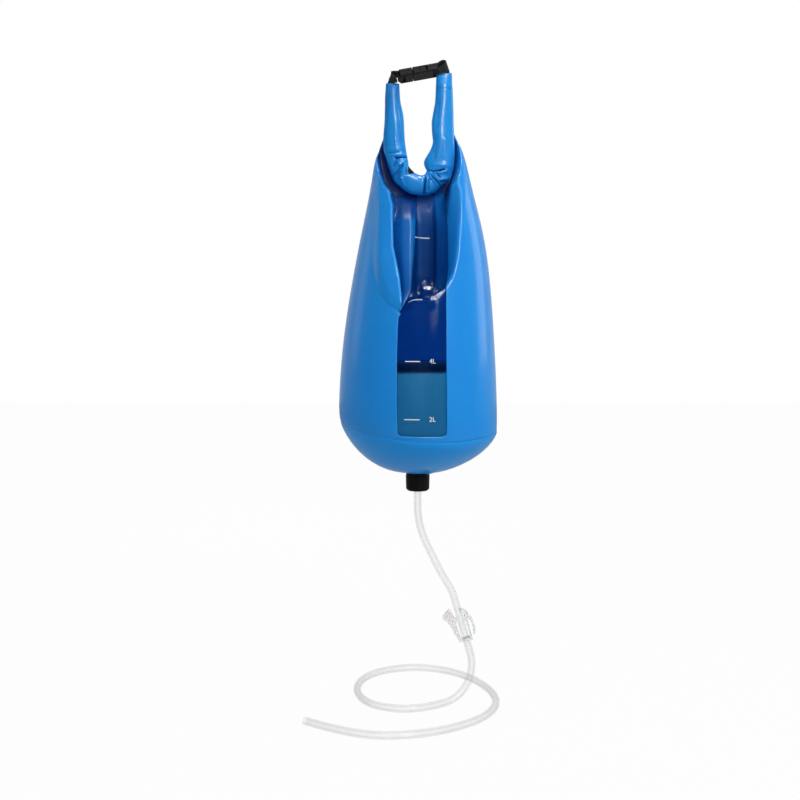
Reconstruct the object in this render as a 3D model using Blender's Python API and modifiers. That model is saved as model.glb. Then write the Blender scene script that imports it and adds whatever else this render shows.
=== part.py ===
"""Gravity water filter bag: a roll-top bag that hangs from its own closed
buckle, with a filter cartridge standing on the outlet inside it, a union
nut under it and a clear hose with a pinch clamp.

Metres, +Z up, +X to the right and -Y to the front. The origin is the point
on the flat underside of the buckle socket where a hook carries the bag.
"""
import math

import bmesh
import bpy
import numpy as np
from mathutils import Matrix, Vector

# Clearances
SEAT = 0.0003                 # gap between two pieces that touch
RUN = 0.0004                  # gap round a piece that slides or turns

# Bag
BAG_RADIUS = 0.098            # of the round wall
SEAM_INSET = 0.0028           # how far the seam to the bottom is drawn in
SEAM_ROUND = 0.010            # height over which it draws in to the seam
CORNER_SHARE = 0.85           # of that inset, missing on the right
HANG_HEIGHT = 0.434           # from the hook point down to the bottom seam
BOTTOM_BULGE = 0.047          # how far the bottom hangs under its seam
BOTTOM_RINGS = 10
BOTTOM_COLUMNS = 40
BAG_WALL = 0.0009             # coated fabric
NECK_HALF_WIDTH = 0.029       # of the bag at the height of the hook
NECK_HALF_DEPTH = 0.008
WALL_TAPER = 1.92             # power of the side outline
DEPTH_TAPER = 1.8             # power of the front outline
LIP_DEPTH = 0.2655            # hook point down to the edge of the pocket
LIP_START = 0.009             # above the lip, where the pocket starts to open
LIP_RISE = 0.034              # height over which the pocket opens
LIP_FOLD = 0.030              # how far the cloth dips behind the lip
LIP_BEHIND = 0.031            # above the lip, where it dips most
LIP_SPREAD = 0.021            # of that dip, up and down
FLAP_DROP = 0.019             # how far the flap hangs under the lip
FLAP_TURN = math.radians(-17)
FLAP_LEFT = math.radians(11.5)      # its spread to either side
FLAP_RIGHT = math.radians(6)
FLAP_SHARE = 0.60             # of the pocket's left side, up to the free edge
FLAP_REACH = 0.0075           # how far that edge stands over the pocket
FLAP_PROUD = 0.0035           # and how far out of the wall
FLOOR_LEFT = math.radians(-10.5)    # the flat floor of the pocket
FLOOR_RIGHT = math.radians(0.6)
FLOOR_SHIFT = 0.0115          # how far the floor is drawn to the right
POCKET_SHARE = 0.90           # how near the floor comes to the middle plane
LEAN_RISE = 0.76              # share of the way up, where it turns to the roll
SWAY = 0.0050                 # how far the wall leans to the right
SWAY_HEIGHT = -0.190          # at this height, from the hook point
SWAY_SPREAD = 0.105           # and this far up and down
SEAM_LIFT = 0.0090            # the bottom seam's rise to both sides
SEAM_TILT = 0.0065            # and its rise to the left
SEAM_FADE = 0.050             # height over which the wall loses that
LAYER_GAP = 0.0020            # between the front and back cloth in the mouth

# Clear window
WINDOW_WIDTH = 0.0576         # measured round the bag
WINDOW_TURN = math.radians(2.3)     # its middle, from the bag's front
WINDOW_SILL = 0.0075          # bottom seam up to the window
WINDOW_GAP = 0.0016           # between the strip and the cloth, round the bag
WINDOW_FIRST_ROW = 0.013      # first row of the wall over the window's sill
WINDOW_COLUMNS = 9
FLANK_COLUMNS = 16            # on each side of the window, as far as the back
BACK_COLUMNS = 30
WALL_BACK_FROM = math.radians(60)

# Rolled mouth, bent up into a loop
LEG_LEFT = 0.0315             # hook point across to each upright leg
LEG_RIGHT = 0.0315
LOOP_DROP = 0.130             # hook point down to the middle of the loop
LEFT_LEG_TOP = -0.0080
RIGHT_LEG_TOP = 0.0020
ROLL_HALF_WIDTH = 0.0128
ROLL_FLATNESS = 0.58          # depth as a share of the width
ROLL_WALL = 0.0030            # all the wound layers together
LEFT_END_HALF_WIDTH = 0.0084
RIGHT_END_HALF_WIDTH = 0.0098
END_TAPER = 0.045             # length over which an end narrows
SPLIT_DEPTH = 0.056           # hook point down to where the left end parts
STIFFENER_THICKNESS = 0.0016
LOOP_STEP = 0.002             # between points of the roll's centre line
ROLL_STRIDE = 5               # of those points from ring to ring
STIFFENER_GAP = 0.0007        # its edges to the roll's inside

# Side release buckle
BUCKLE_TILT = math.radians(10)      # its right end is the higher one
BUCKLE_ROLL = math.radians(10)      # its underside faces a little forward
BUCKLE_WIDTH = 0.024
BUCKLE_THICKNESS = 0.009
BUCKLE_WALL = 0.0016
SOCKET_LEFT = 0.006           # hook point to each end of the socket
SOCKET_RIGHT = 0.025
SOCKET_MOUTH_DEPTH = 0.021    # how deep the plug's cavity is
PLUG_LENGTH = 0.016           # of the part outside the socket
BAR_SIZE = 0.0030             # webbing bar
WEBBING_SLOT = 0.0036
PRONG_ARM = 0.0026
PRONG_HEIGHT = 0.0050
PRONG_REACH = 0.0180          # plug face to the head's tip
PRONG_HEAD = 0.0085           # length of the head
HEAD_INSET = 0.0005           # head under the buckle's side
TONGUE_WIDTH = 0.0030

# Webbing tabs
WEBBING_WIDTH = 0.0180
WEBBING_THICKNESS = 0.0016
WEBBING_STEP = 0.0025
RIGHT_TAB_BOW = 0.0050        # how high each tab arches over to the buckle
LEFT_TAB_BOW = 0.0
TWIST_SHARE = 0.65            # part of the rise over which a tab twists
RIGHT_TAB_TURN = math.radians(35)   # how far each leg's end of the
LEFT_TAB_TURN = math.radians(50)    # webbing turns from facing the front
TAB_LEAN = 0.0020             # outwards, on the way up

# Outlet
FLANGE_RADIUS = 0.024
FLANGE_THICKNESS = 0.0030
GASKET_RADIUS = 0.022
GASKET_THICKNESS = 0.0020
NECK_RADIUS = 0.0105
NECK_BORE = 0.0045
NECK_LENGTH = 0.0190          # under the flange
SPIGOT_RADIUS = 0.0080
SPIGOT_HEIGHT = 0.0120
LOCK_NUT_RADIUS = 0.0146
LOCK_NUT_HEIGHT = 0.0048
UNION_NUT_RADIUS = 0.0150
UNION_NUT_HEIGHT = 0.0188
WASHER_THICKNESS = 0.0012
TAIL_THICKNESS = 0.0018
TAIL_PIPE = 0.0040            # of the tail's pipe inside the neck

# Filter cartridge
CARTRIDGE_RADIUS = 0.042
CARTRIDGE_TOP_DEPTH = 0.345   # hook point down to the lid
CARTRIDGE_WALL = 0.0020
CAP_OVERHANG = 0.0020
CAP_FLOOR = 0.0030
CAP_SKIRT = 0.0100
SOCKET_WALL = 0.0030
SEAL_THICKNESS = 0.0012
PAD_THICKNESS = 0.0080
INLET_RADIUS = 0.0030
INLET_CIRCLE = 0.0240
INLET_COUNT = 8

# Hose
HOSE_RADIUS = 0.00475
HOSE_LEAD = 0.012             # straight out of the nut
FLOOR_DEPTH = 0.7783          # hook point down to what the hose lies on

# Pinch clamp
CLAMP_REACH = 0.0200          # clamp's middle to each end plate
CLAMP_PLATE = 0.0026
CLAMP_HALF_DEPTH = 0.0062
CLAMP_SPINE = 0.0020
CLAMP_NOSE = 0.0085           # clamp's middle up to where it pinches
CLAMP_HOOK = 0.0012           # where the upper plate's free edge is, across
CLAMP_FOOT = -0.0052          # and the lower plate's
LEVER_FOOT = -0.0075          # the axis that the lever turns about, across
LEVER_BEAD = 0.0018           # radius of its rounded foot

SEAM_Z = -HANG_HEIGHT
BOTTOM_Z = SEAM_Z - BOTTOM_BULGE
HOSE_FLOOR_Z = HOSE_RADIUS - FLOOR_DEPTH
BACK_Y = ROLL_HALF_WIDTH * ROLL_FLATNESS + SEAT + BAG_WALL + LAYER_GAP / 2

# The pocket's sides from their ridge to the floor: share of the way, and
# share of the depth
FLANK_LEFT = (
    (0.0, 0.0), (0.10, -0.02), (0.20, -0.03), (0.35, -0.02), (0.50, 0.0), (0.58, 0.03),
    (0.66, 0.82), (0.72, 0.84), (0.80, 0.60), (0.90, 0.68), (1.0, 1.0),
)
FLANK_RIGHT = (
    (0.0, 0.0), (0.10, 0.10), (0.35, 0.42), (0.60, 0.68), (0.78, 0.92), (1.0, 1.0),
)
# Where the pocket's ridges and its flap's free edge run: height as a share
# of the hang height, and degrees from the front
RIDGE_LEFT = (
    (-0.657, -18), (-0.644, -24), (-0.627, -29), (-0.593, -36.5), (-0.539, -43.5),
    (-0.501, -47.5), (-0.430, -52), (-0.357, -59), (-0.323, -68),
)
FOLD_EDGE = (
    (-0.657, -20), (-0.604, -20.5), (-0.560, -22.5), (-0.518, -26), (-0.472, -31),
    (-0.355, -36),
)
RIDGE_RIGHT = (
    (-0.604, 20.5), (-0.560, 26.5), (-0.501, 32), (-0.426, 38.5), (-0.350, 49.5),
    (-0.317, 56),
)
# How much of the flap's reach is left at a height
FOLD_REACH = ((-0.657, 1.0), (-0.588, 0.93), (-0.518, 0.80), (-0.438, 0.67), (-0.346, 0.47))

# The rolled mouth's centre line: each point is a share of a leg's distance
# from the middle, and a share of the loop's drop
LOOP_SHAPE = (
    (-1.030, 0.209), (-0.975, 0.392), (-0.937, 0.575), (-0.822, 0.742),
    (-0.511, 0.889), (-0.086, 0.972), (0.300, 1.000), (0.730, 0.954),
    (0.978, 0.825), (1.016, 0.668), (0.975, 0.484), (1.010, 0.255),
)

# The hose's route under the nut, across and up from the hook point
HANG_ROUTE = (
    (0.0004, -0.535), (0.0058, -0.561), (0.0178, -0.588), (0.0325, -0.6165),
)
CLAMP_MIDDLE = (0.0568, -0.6800)
CLAMP_LEAN = math.radians(16)
CLAMP_RUN = 0.0290            # straight hose each side of the clamp's middle
# The bowed release tongue and the lever's thumb pad, across and up
CLAMP_TONGUE = (
    (0.0138, 0.0060), (0.0153, -0.0070), (0.0128, -0.0135), (0.0112, -0.0128),
    (0.0128, -0.0070), (0.0116, 0.0040),
)
LEVER_PAD = (
    (-0.0084, 0.0165), (-0.0092, 0.0225), (-0.0112, 0.0240), (-0.0214, 0.0166),
    (-0.0205, 0.0140), (-0.0165, 0.0100), (-0.0137, 0.0020), (-0.0120, -0.0080),
)
# The hose's last fall and loops, as across, back and up
FALL_ROUTE = (
    (0.0690, 0.0, -0.7252), (0.0693, 0.0, -0.7294), (0.0668, -0.0016, -0.7472),
    (0.0590, -0.0063, -0.7610), (0.0471, -0.0132, -0.7703), (0.0330, -0.0213, -0.7735),
)
FLOOR_ROUTE = (
    (0.0100, -0.0345), (-0.0140, -0.0400), (-0.0370, -0.0365), (-0.0570, -0.0250),
    (-0.0720, -0.0020), (-0.0780, 0.0265), (-0.0735, 0.0560), (-0.0600, 0.0800),
    (-0.0370, 0.0970), (-0.0120, 0.1050), (0.0145, 0.1040), (0.0400, 0.0940),
    (0.0660, 0.0730), (0.0850, 0.0450), (0.0965, 0.0140), (0.0990, -0.0150),
    (0.0915, -0.0450), (0.0745, -0.0710), (0.0540, -0.0890), (0.0310, -0.1030),
    (0.0040, -0.1135), (-0.0250, -0.1190), (-0.0560, -0.1180), (-0.0850, -0.1080),
    (-0.1120, -0.0935), (-0.1370, -0.0770),
)

for old in list(bpy.data.objects):
    bpy.data.objects.remove(old, do_unlink=True)

PARTS = bpy.data.collections.new("gravity_filter_bag")
CUTTERS = bpy.data.collections.new("cutters")
bpy.context.scene.collection.children.link(PARTS)
bpy.context.scene.collection.children.link(CUTTERS)


def material(name, colour, roughness, metallic=0.0, alpha=1.0):
    """A Principled material of one colour."""
    made = bpy.data.materials.get(name)
    if made is None:
        made = bpy.data.materials.new(name)
        made.use_nodes = True
        shader = made.node_tree.nodes["Principled BSDF"]
        shader.inputs["Base Color"].default_value = (*colour, 1.0)
        shader.inputs["Roughness"].default_value = roughness
        shader.inputs["Metallic"].default_value = metallic
        shader.inputs["Alpha"].default_value = alpha
    return made


def blue_fabric():
    return material("blue_fabric", (0.02, 0.22, 0.62), 0.25)


def black_plastic():
    return material("black_plastic", (0.010, 0.010, 0.012), 0.40)


def black_rubber():
    return material("black_rubber", (0.02, 0.02, 0.02), 0.80)


def black_webbing():
    return material("black_webbing", (0.012, 0.012, 0.014), 0.85)


def clear_film():
    return material("clear_film", (0.30, 0.50, 0.75), 0.10, alpha=0.35)


def clear_hose():
    return material("clear_hose", (0.80, 0.82, 0.84), 0.15, alpha=0.5)


def white_plastic():
    return material("white_plastic", (0.85, 0.85, 0.88), 0.35)


def grey_housing():
    return material("grey_housing", (0.12, 0.30, 0.40), 0.30)


def white_fibre():
    return material("white_fibre", (0.80, 0.80, 0.78), 0.90)


def add(name, mesh, finish, smooth_below=35):
    """Put a mesh in the parts' collection under its own name."""
    made = bpy.data.objects.new(name, mesh)
    PARTS.objects.link(made)
    mesh.materials.append(finish)
    mesh.shade_smooth()
    mesh.set_sharp_from_angle(angle=math.radians(smooth_below))
    return made


def mesh_from(name, points, faces):
    """A mesh of the given faces, all turned outwards."""
    mesh = bpy.data.meshes.new(name)
    mesh.from_pydata(points.reshape(-1, 3).tolist(), [], faces)
    build = bmesh.new()
    build.from_mesh(mesh)
    bmesh.ops.recalc_face_normals(build, faces=build.faces)
    build.to_mesh(mesh)
    build.free()
    return mesh


def grid_faces(rows, columns, closed):
    """Quads between neighbouring rows, round again when closed."""
    last = columns if closed else columns - 1
    return [
        (row * columns + column,
         row * columns + (column + 1) % columns,
         (row + 1) * columns + (column + 1) % columns,
         (row + 1) * columns + column)
        for row in range(rows - 1) for column in range(last)
    ]


def shell(made, thickness):
    """Give an open surface a wall, half on each side."""
    wall = made.modifiers.new("wall", "SOLIDIFY")
    wall.thickness = thickness
    wall.offset = 0.0
    return made


def turned(name, profile, finish, steps=32, centre=(0.0, 0.0)):
    """A turned piece: its profile, as radius and height, run round Z.

    The profile goes down the outer side and, on a piece with a bore, up the
    inner one and back to its start.
    """
    mesh = bpy.data.meshes.new(name)
    count = len(profile)
    edges = [(i, i + 1) for i in range(count - 1)]
    if all(radius > 0 for radius, _ in profile):
        edges.append((count - 1, 0))
    mesh.from_pydata([(radius, 0, height) for radius, height in profile], edges, [])
    made = add(name, mesh, finish)
    made.location = (*centre, 0.0)
    spin = made.modifiers.new("turn", "SCREW")
    spin.axis = "Z"
    spin.steps = steps
    spin.render_steps = steps
    spin.use_merge_vertices = True
    spin.merge_threshold = 0.00001
    return made


def ring(name, outer, inner, top, bottom, finish, steps=32):
    """A plain turned ring."""
    profile = [(outer, top), (outer, bottom), (inner, bottom), (inner, top)]
    return turned(name, profile, finish, steps)


def block(name, low, high, finish=None, bevel=0.0):
    """A box between two corners, in the parts or among the cutters."""
    low = Vector(low)
    high = Vector(high)
    build = bmesh.new()
    bmesh.ops.create_cube(build, size=1.0)
    size = high - low
    bmesh.ops.scale(build, vec=size, verts=build.verts)
    bmesh.ops.translate(build, vec=(low + high) / 2, verts=build.verts)
    mesh = bpy.data.meshes.new(name)
    build.to_mesh(mesh)
    build.free()
    if finish is None:
        made = cutter(name, mesh)
    else:
        made = add(name, mesh, finish)
    if bevel > 0:
        edge = made.modifiers.new("edge", "BEVEL")
        edge.width = bevel
        edge.segments = 2
    return made


def cutter(name, mesh):
    made = bpy.data.objects.new(name, mesh)
    CUTTERS.objects.link(made)
    made.hide_render = True
    made.display_type = "WIRE"
    return made


def rod(name, radius, start, end, sides=24):
    """A cylinder between two points, among the cutters."""
    start = Vector(start)
    end = Vector(end)
    build = bmesh.new()
    bmesh.ops.create_cone(build, cap_ends=True, segments=sides, radius1=radius,
                          radius2=radius, depth=(end - start).length)
    turn = Vector((0, 0, 1)).rotation_difference(end - start).to_matrix().to_4x4()
    place = Matrix.Translation((start + end) / 2) @ turn
    bmesh.ops.transform(build, matrix=place, verts=build.verts)
    mesh = bpy.data.meshes.new(name)
    build.to_mesh(mesh)
    build.free()
    return cutter(name, mesh)


def combine(made, tool, operation="DIFFERENCE"):
    """Cut a piece with a cutter, or join the two."""
    step = made.modifiers.new(tool.name, "BOOLEAN")
    step.object = tool
    step.operation = operation
    step.solver = "EXACT"


def plate(name, outline, half_depth, finish=None):
    """A flat outline, as across and up, given its depth along Y."""
    curve = bpy.data.curves.new(name, "CURVE")
    curve.dimensions = "2D"
    curve.fill_mode = "BOTH"
    curve.extrude = half_depth
    line = curve.splines.new("POLY")
    line.points.add(len(outline) - 1)
    for point, (across, up) in zip(line.points, outline):
        point.co = (across, up, 0, 1)
    line.use_cyclic_u = True
    flat = bpy.data.objects.new(name + "_outline", curve)
    CUTTERS.objects.link(flat)
    flat.rotation_euler = (math.radians(90), 0, 0)
    bpy.context.view_layer.update()
    seen = flat.evaluated_get(bpy.context.evaluated_depsgraph_get())
    mesh = bpy.data.meshes.new_from_object(seen)
    mesh.transform(flat.matrix_world)
    bpy.data.objects.remove(flat, do_unlink=True)
    build = bmesh.new()
    build.from_mesh(mesh)
    bmesh.ops.remove_doubles(build, verts=build.verts, dist=0.00001)
    build.to_mesh(mesh)
    build.free()
    mesh.name = name
    if finish is None:
        return cutter(name, mesh)
    return add(name, mesh, finish)


def smooth_line(points, step, start=None, end=None):
    """Points about one step apart on the cubic spline through the given ones.

    Each stretch is the cubic whose speed matches at both of its ends; start
    and end are the directions there, or free when left out.
    """
    points = np.asarray(points, float)
    runs = np.linalg.norm(np.diff(points, axis=0), axis=1)
    knots = np.concatenate([[0.0], np.cumsum(runs)])
    count = len(points)
    rule = np.zeros((count, count))
    aim = np.zeros_like(points)
    for i in range(1, count - 1):
        before, after = runs[i - 1], runs[i]
        rule[i, i - 1:i + 2] = after, 2 * (before + after), before
        aim[i] = 3 * (after / before * (points[i] - points[i - 1])
                      + before / after * (points[i + 1] - points[i]))
    for i, near, heading in ((0, 1, start), (count - 1, count - 2, end)):
        rule[i, i] = 1.0 if heading is not None else 2.0
        if heading is None:
            rule[i, near] = 1.0
            span = runs[0] if i == 0 else -runs[-1]
            aim[i] = 3 * (points[near] - points[i]) / span
        else:
            aim[i] = np.asarray(heading, float)
    speed = np.linalg.solve(rule, aim)
    length = knots[-1]
    places = np.linspace(0, length, max(2, int(round(length / step)) + 1))
    index = np.clip(np.searchsorted(knots, places, side="right") - 1, 0, count - 2)
    run = runs[index][:, None]
    t = ((places - knots[index]) / runs[index])[:, None]
    first, second = points[index], points[index + 1]
    return ((2 * t**3 - 3 * t**2 + 1) * first + (t**3 - 2 * t**2 + t) * run * speed[index]
            + (3 * t**2 - 2 * t**3) * second + (t**3 - t**2) * run * speed[index + 1])


def ease(value):
    """0 below 0, 1 above 1, and a smooth step between."""
    value = np.clip(value, 0.0, 1.0)
    return value * value * (3 - 2 * value)


def loop_line():
    """The rolled mouth's centre line from the left end to the right one."""
    route = [(-LEG_LEFT, LEFT_LEG_TOP)]
    for across, drop in LOOP_SHAPE:
        leg = LEG_LEFT if across < 0 else LEG_RIGHT
        route.append((across * leg, -drop * LOOP_DROP))
    route.append((LEG_RIGHT, RIGHT_LEG_TOP))
    line = smooth_line(route, LOOP_STEP, start=(0, -1), end=(0, 1))
    return np.column_stack([line[:, 0], np.zeros(len(line)), line[:, 1]])


LOOP = loop_line()


def along_loop(share):
    """A point of the loop by its share of the length, -1 left to 1 right."""
    runs = np.linalg.norm(np.diff(LOOP, axis=0), axis=1)
    place = np.concatenate([[0.0], np.cumsum(runs)])
    place = place / place[-1] * 2 - 1
    return (np.interp(share, place, LOOP[:, 0]), np.interp(share, place, LOOP[:, 2]))


def along_flank(keys, share):
    """A flank's depth at a share of its way, its corners rounded off."""
    reach = np.linspace(-0.02, 0.02, 5)
    keys = np.array(keys)
    return np.mean([np.interp(share + step, keys[:, 0], keys[:, 1]) for step in reach], axis=0)


def at_height(keys, height):
    """A value that is listed by the share of the hang height."""
    keys = np.array(keys)
    return np.interp(height / HANG_HEIGHT, keys[:, 0], keys[:, 1])


def bell(share):
    """1 at the middle, and falling off smoothly to both sides."""
    return np.exp(-share**2)


def pocket(turn, height):
    """How deep the pocket is, 0 outside it and 1 on its floor, the height
    above its lip, how far the floor's shift applies, how far the flap hangs
    over to the right, and how far it stands out."""
    left = np.radians(at_height(RIDGE_LEFT, height))
    right = np.radians(at_height(RIDGE_RIGHT, height))
    fold = np.maximum(np.radians(at_height(FOLD_EDGE, height)), left + math.radians(0.6))
    to_fold = FLAP_SHARE * (turn - left) / (fold - left)
    past_fold = FLAP_SHARE + (1 - FLAP_SHARE) * (turn - fold) / (FLOOR_LEFT - fold)
    share = np.where(turn < fold, to_fold, past_fold)
    on_right = along_flank(FLANK_RIGHT, (right - turn) / (right - FLOOR_RIGHT))
    is_left = turn < (FLOOR_LEFT + FLOOR_RIGHT) / 2
    depth = np.where(is_left, along_flank(FLANK_LEFT, share), on_right)
    drawn = np.where(is_left, ease((share - FLAP_SHARE) / (1 - FLAP_SHARE)), on_right)
    spread = np.where(turn < FLAP_TURN, FLAP_LEFT, FLAP_RIGHT)
    above = height + LIP_DEPTH + FLAP_DROP * bell((turn - FLAP_TURN) / spread)
    before = share < FLAP_SHARE - 0.02
    beside = (share - FLAP_SHARE + 0.02) / np.where(before, 0.30, 0.05)
    started = above / LIP_START
    reach = FLAP_REACH * at_height(FOLD_REACH, height) * bell(beside)
    reach = reach * ease(started * 0.75 + 0.5)
    proud = ease((turn - left) / 0.05) * ease(started * 1.8)
    proud = FLAP_PROUD * proud * ease((FLAP_SHARE + 0.06 - share) / 0.10) * is_left
    return depth, above, drawn, reach, proud


def seam_lift(turn):
    """How far the bottom seam stands above its lowest place."""
    return SEAM_LIFT * np.sin(turn)**2 - SEAM_TILT * np.sin(turn)


def seam_inset(turn):
    """How far the wall draws in to the seam: less on the right, where the
    corner is sharper."""
    return SEAM_INSET * (1 - CORNER_SHARE * np.clip(np.sin(turn), 0, 1)**2)


def bag_surface(turn, rise):
    """The bag's wall at a turn from its front and a rise from 0 at the seam
    to 1 at the rolled mouth.

    Level by level it is an ellipse that narrows as a power of the height.
    Each column leans over to its own place along the mouth, front and back
    alike. Cloth near the roll passes behind it. A pocket is folded into
    the front and the back above the lip, where the cloth also dips, and a
    flap of cloth hangs over the pocket's left side.
    """
    facing = np.sign(np.cos(turn))
    folded = np.where(np.cos(turn) >= 0, turn, np.sign(turn) * math.pi - turn)
    mouth_x, mouth_z = along_loop(folded / (math.pi / 2))
    height = SEAM_Z + rise * (mouth_z - SEAM_Z)
    level = np.clip((height - SEAM_Z) / HANG_HEIGHT, 0.0, 1.0)
    half_width = BAG_RADIUS - (BAG_RADIUS - NECK_HALF_WIDTH) * level**WALL_TAPER
    half_depth = BAG_RADIUS - (BAG_RADIUS - NECK_HALF_DEPTH) * level**DEPTH_TAPER
    drawn_in = seam_inset(turn) * np.exp(-(height - SEAM_Z) / SEAM_ROUND)
    half_width = half_width - drawn_in
    half_depth = half_depth - drawn_in
    lean = ease((rise - LEAN_RISE) / (1 - LEAN_RISE))
    sway = SWAY * bell((height - SWAY_HEIGHT) / SWAY_SPREAD)
    x = (half_width * np.sin(turn) + sway) * (1 - lean) + mouth_x * lean
    y = -half_depth * np.cos(turn)
    depth, above, drawn, reach, proud = pocket(folded, height)
    opened = ease((above - LIP_START) / LIP_RISE)
    x = x + (FLOOR_SHIFT * drawn * opened + reach) * (1 - 0.8 * lean)
    y = y * (1 - POCKET_SHARE * depth * opened) - facing * proud * (1 - lean)
    dip = bell((above - LIP_BEHIND) / LIP_SPREAD)
    z = height - LIP_FOLD * np.clip(depth, 0, 1) * dip
    z = z + seam_lift(turn) * np.exp(-(height - SEAM_Z) / SEAM_FADE)
    away = np.min(np.hypot(x[..., None] - LOOP[::4, 0], z[..., None] - LOOP[::4, 2]), axis=-1)
    behind = 1 - ease((away - ROLL_HALF_WIDTH - 0.002) / 0.034)
    tucked = BACK_Y - facing * LAYER_GAP / 2 * np.abs(np.cos(turn))**0.2
    y = y * (1 - behind) + tucked * behind
    return np.stack([x, y, z], axis=-1)


def rise_levels(first):
    """Levels of the wall's rows, closer together where the cloth folds."""
    low = np.linspace(first, 0.33, 5)
    fold = np.linspace(0.37, 0.66, 13)
    high = np.linspace(0.70, 1.0, 9)
    return np.concatenate([low, fold, high])


def window_turn():
    """Half the angle that the window takes round the bag."""
    return WINDOW_WIDTH / 2 / BAG_RADIUS


def window_rise():
    return WINDOW_SILL / HANG_HEIGHT


def bag_wall():
    """The bag's side, with the window's opening from its sill to the mouth."""
    gap = WINDOW_GAP / BAG_RADIUS
    edge = window_turn() + gap
    front = WINDOW_TURN + np.linspace(-edge, edge, WINDOW_COLUMNS)
    right = np.linspace(front[-1], WALL_BACK_FROM, FLANK_COLUMNS)[1:]
    back = np.linspace(WALL_BACK_FROM, 2 * math.pi - WALL_BACK_FROM, BACK_COLUMNS)[1:]
    left = np.linspace(-WALL_BACK_FROM, front[0], FLANK_COLUMNS)[1:-1] + 2 * math.pi
    turns = np.concatenate([front, right, back, left])
    turns = np.where(turns > math.pi, turns - 2 * math.pi, turns)
    sill = window_rise() - SEAT / HANG_HEIGHT
    first = window_rise() + WINDOW_FIRST_ROW / HANG_HEIGHT
    rises = np.concatenate([[SEAT / 2 / HANG_HEIGHT, sill], rise_levels(first)])
    turn, rise = np.meshgrid(turns, rises)
    points = bag_surface(turn, rise)
    columns = len(turns)
    faces = grid_faces(len(rises), columns, closed=True)
    kept = [face for i, face in enumerate(faces)
            if i // columns < 1 or i % columns >= len(front) - 1]
    mesh = mesh_from("bag_wall", points, kept)
    return shell(add("bag_wall", mesh, blue_fabric(), 60), BAG_WALL)


def window_panel():
    """The clear strip that fills the opening."""
    turns = WINDOW_TURN + np.linspace(-window_turn(), window_turn(), WINDOW_COLUMNS)
    first = window_rise() + WINDOW_FIRST_ROW / HANG_HEIGHT
    rises = np.concatenate([[window_rise()], rise_levels(first)])
    turn, rise = np.meshgrid(turns, rises)
    faces = grid_faces(len(rises), len(turns), closed=False)
    mesh = mesh_from("window_panel", bag_surface(turn, rise), faces)
    return shell(add("window_panel", mesh, clear_film(), 60), BAG_WALL)


def bag_bottom():
    """The round bottom, bulging down to a flat that the outlet is bolted to.

    Its rings follow the seam's tilt at the rim and are level in the middle.
    """
    share = np.cos(math.pi / 2 * np.arange(BOTTOM_RINGS + 1) / BOTTOM_RINGS)
    turn = np.linspace(0, 2 * math.pi, BOTTOM_COLUMNS, endpoint=False)[None, :]
    rim = BAG_RADIUS - seam_inset(turn)
    radius = FLANGE_RADIUS + (rim - FLANGE_RADIUS) * share[:, None]
    drop = BOTTOM_BULGE * (1 - share**1.6)**0.8
    height = SEAM_Z - SEAT / 2 - drop[:, None] + share[:, None]**3 * seam_lift(turn)
    radius = np.vstack([radius, np.full(turn.shape, NECK_RADIUS + RUN)])
    height = np.vstack([height, np.full(turn.shape, BOTTOM_Z - SEAT / 2)])
    points = np.stack([radius * np.sin(turn), -radius * np.cos(turn), height], axis=-1)
    faces = grid_faces(*radius.shape, closed=True)
    return shell(add("bag_bottom", mesh_from("bag_bottom", points, faces), blue_fabric(), 60),
                 BAG_WALL)


def loop_frame():
    """Each point of the loop with its sideways direction and half width."""
    ahead = np.gradient(LOOP, axis=0)
    ahead = ahead / np.linalg.norm(ahead, axis=1)[:, None]
    sideways = np.column_stack([-ahead[:, 2], np.zeros(len(LOOP)), ahead[:, 0]])
    runs = np.linalg.norm(np.diff(LOOP, axis=0), axis=1)
    place = np.concatenate([[0.0], np.cumsum(runs)])
    left = ease(place / END_TAPER)
    right = ease((place[-1] - place) / END_TAPER)
    width = (ROLL_HALF_WIDTH
             - (ROLL_HALF_WIDTH - LEFT_END_HALF_WIDTH) * (1 - left)
             - (ROLL_HALF_WIDTH - RIGHT_END_HALF_WIDTH) * (1 - right))
    return sideways, width


def split_index():
    """The place on the left leg where the roll's left end parts from it."""
    left = np.arange(len(LOOP))[: len(LOOP) // 2]
    return int(left[np.argmin(abs(LOOP[left, 2] + SPLIT_DEPTH))])


def roll_piece(name, first, last, parted, shift):
    """A stretch of the rolled mouth: an oval tube along the loop.

    The end at the split is cut on a slope along the buckle, so that the left
    end slides off it with the buckle's plug.
    """
    sideways, width = loop_frame()
    picked = [i for i in range(first, last) if (i - split_index()) % ROLL_STRIDE == 0]
    picked = np.array([first] * (first not in picked) + picked + [last])
    turn = np.linspace(0, 2 * math.pi, 14, endpoint=False)[None, :, None]
    walls = []
    for wall in (0.0, ROLL_WALL):
        across = (width[picked] - wall)[:, None, None]
        deep = (width[picked] * ROLL_FLATNESS - wall * 0.8)[:, None, None]
        oval = (LOOP[picked][:, None] + sideways[picked][:, None] * across * np.cos(turn)
                + np.array([0, 1, 0]) * deep * np.sin(turn))
        row = 0 if parted == first else -1
        middle = LOOP[parted]
        slope = math.tan(BUCKLE_TILT) * (oval[row, :, 0] - middle[0])
        oval[row, :, 2] = middle[2] + slope + shift
        walls.append(oval)
    rows, columns = len(picked), turn.size
    outer_faces = grid_faces(rows, columns, closed=True)
    count = rows * columns
    faces = outer_faces + [tuple(i + count for i in face) for face in outer_faces]
    for row in (0, rows - 1):
        start = row * columns
        faces += [(start + i, start + (i + 1) % columns,
                   count + start + (i + 1) % columns, count + start + i)
                  for i in range(columns)]
    mesh = mesh_from(name, np.concatenate(walls), faces)
    return add(name, mesh, blue_fabric(), 60)


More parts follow.
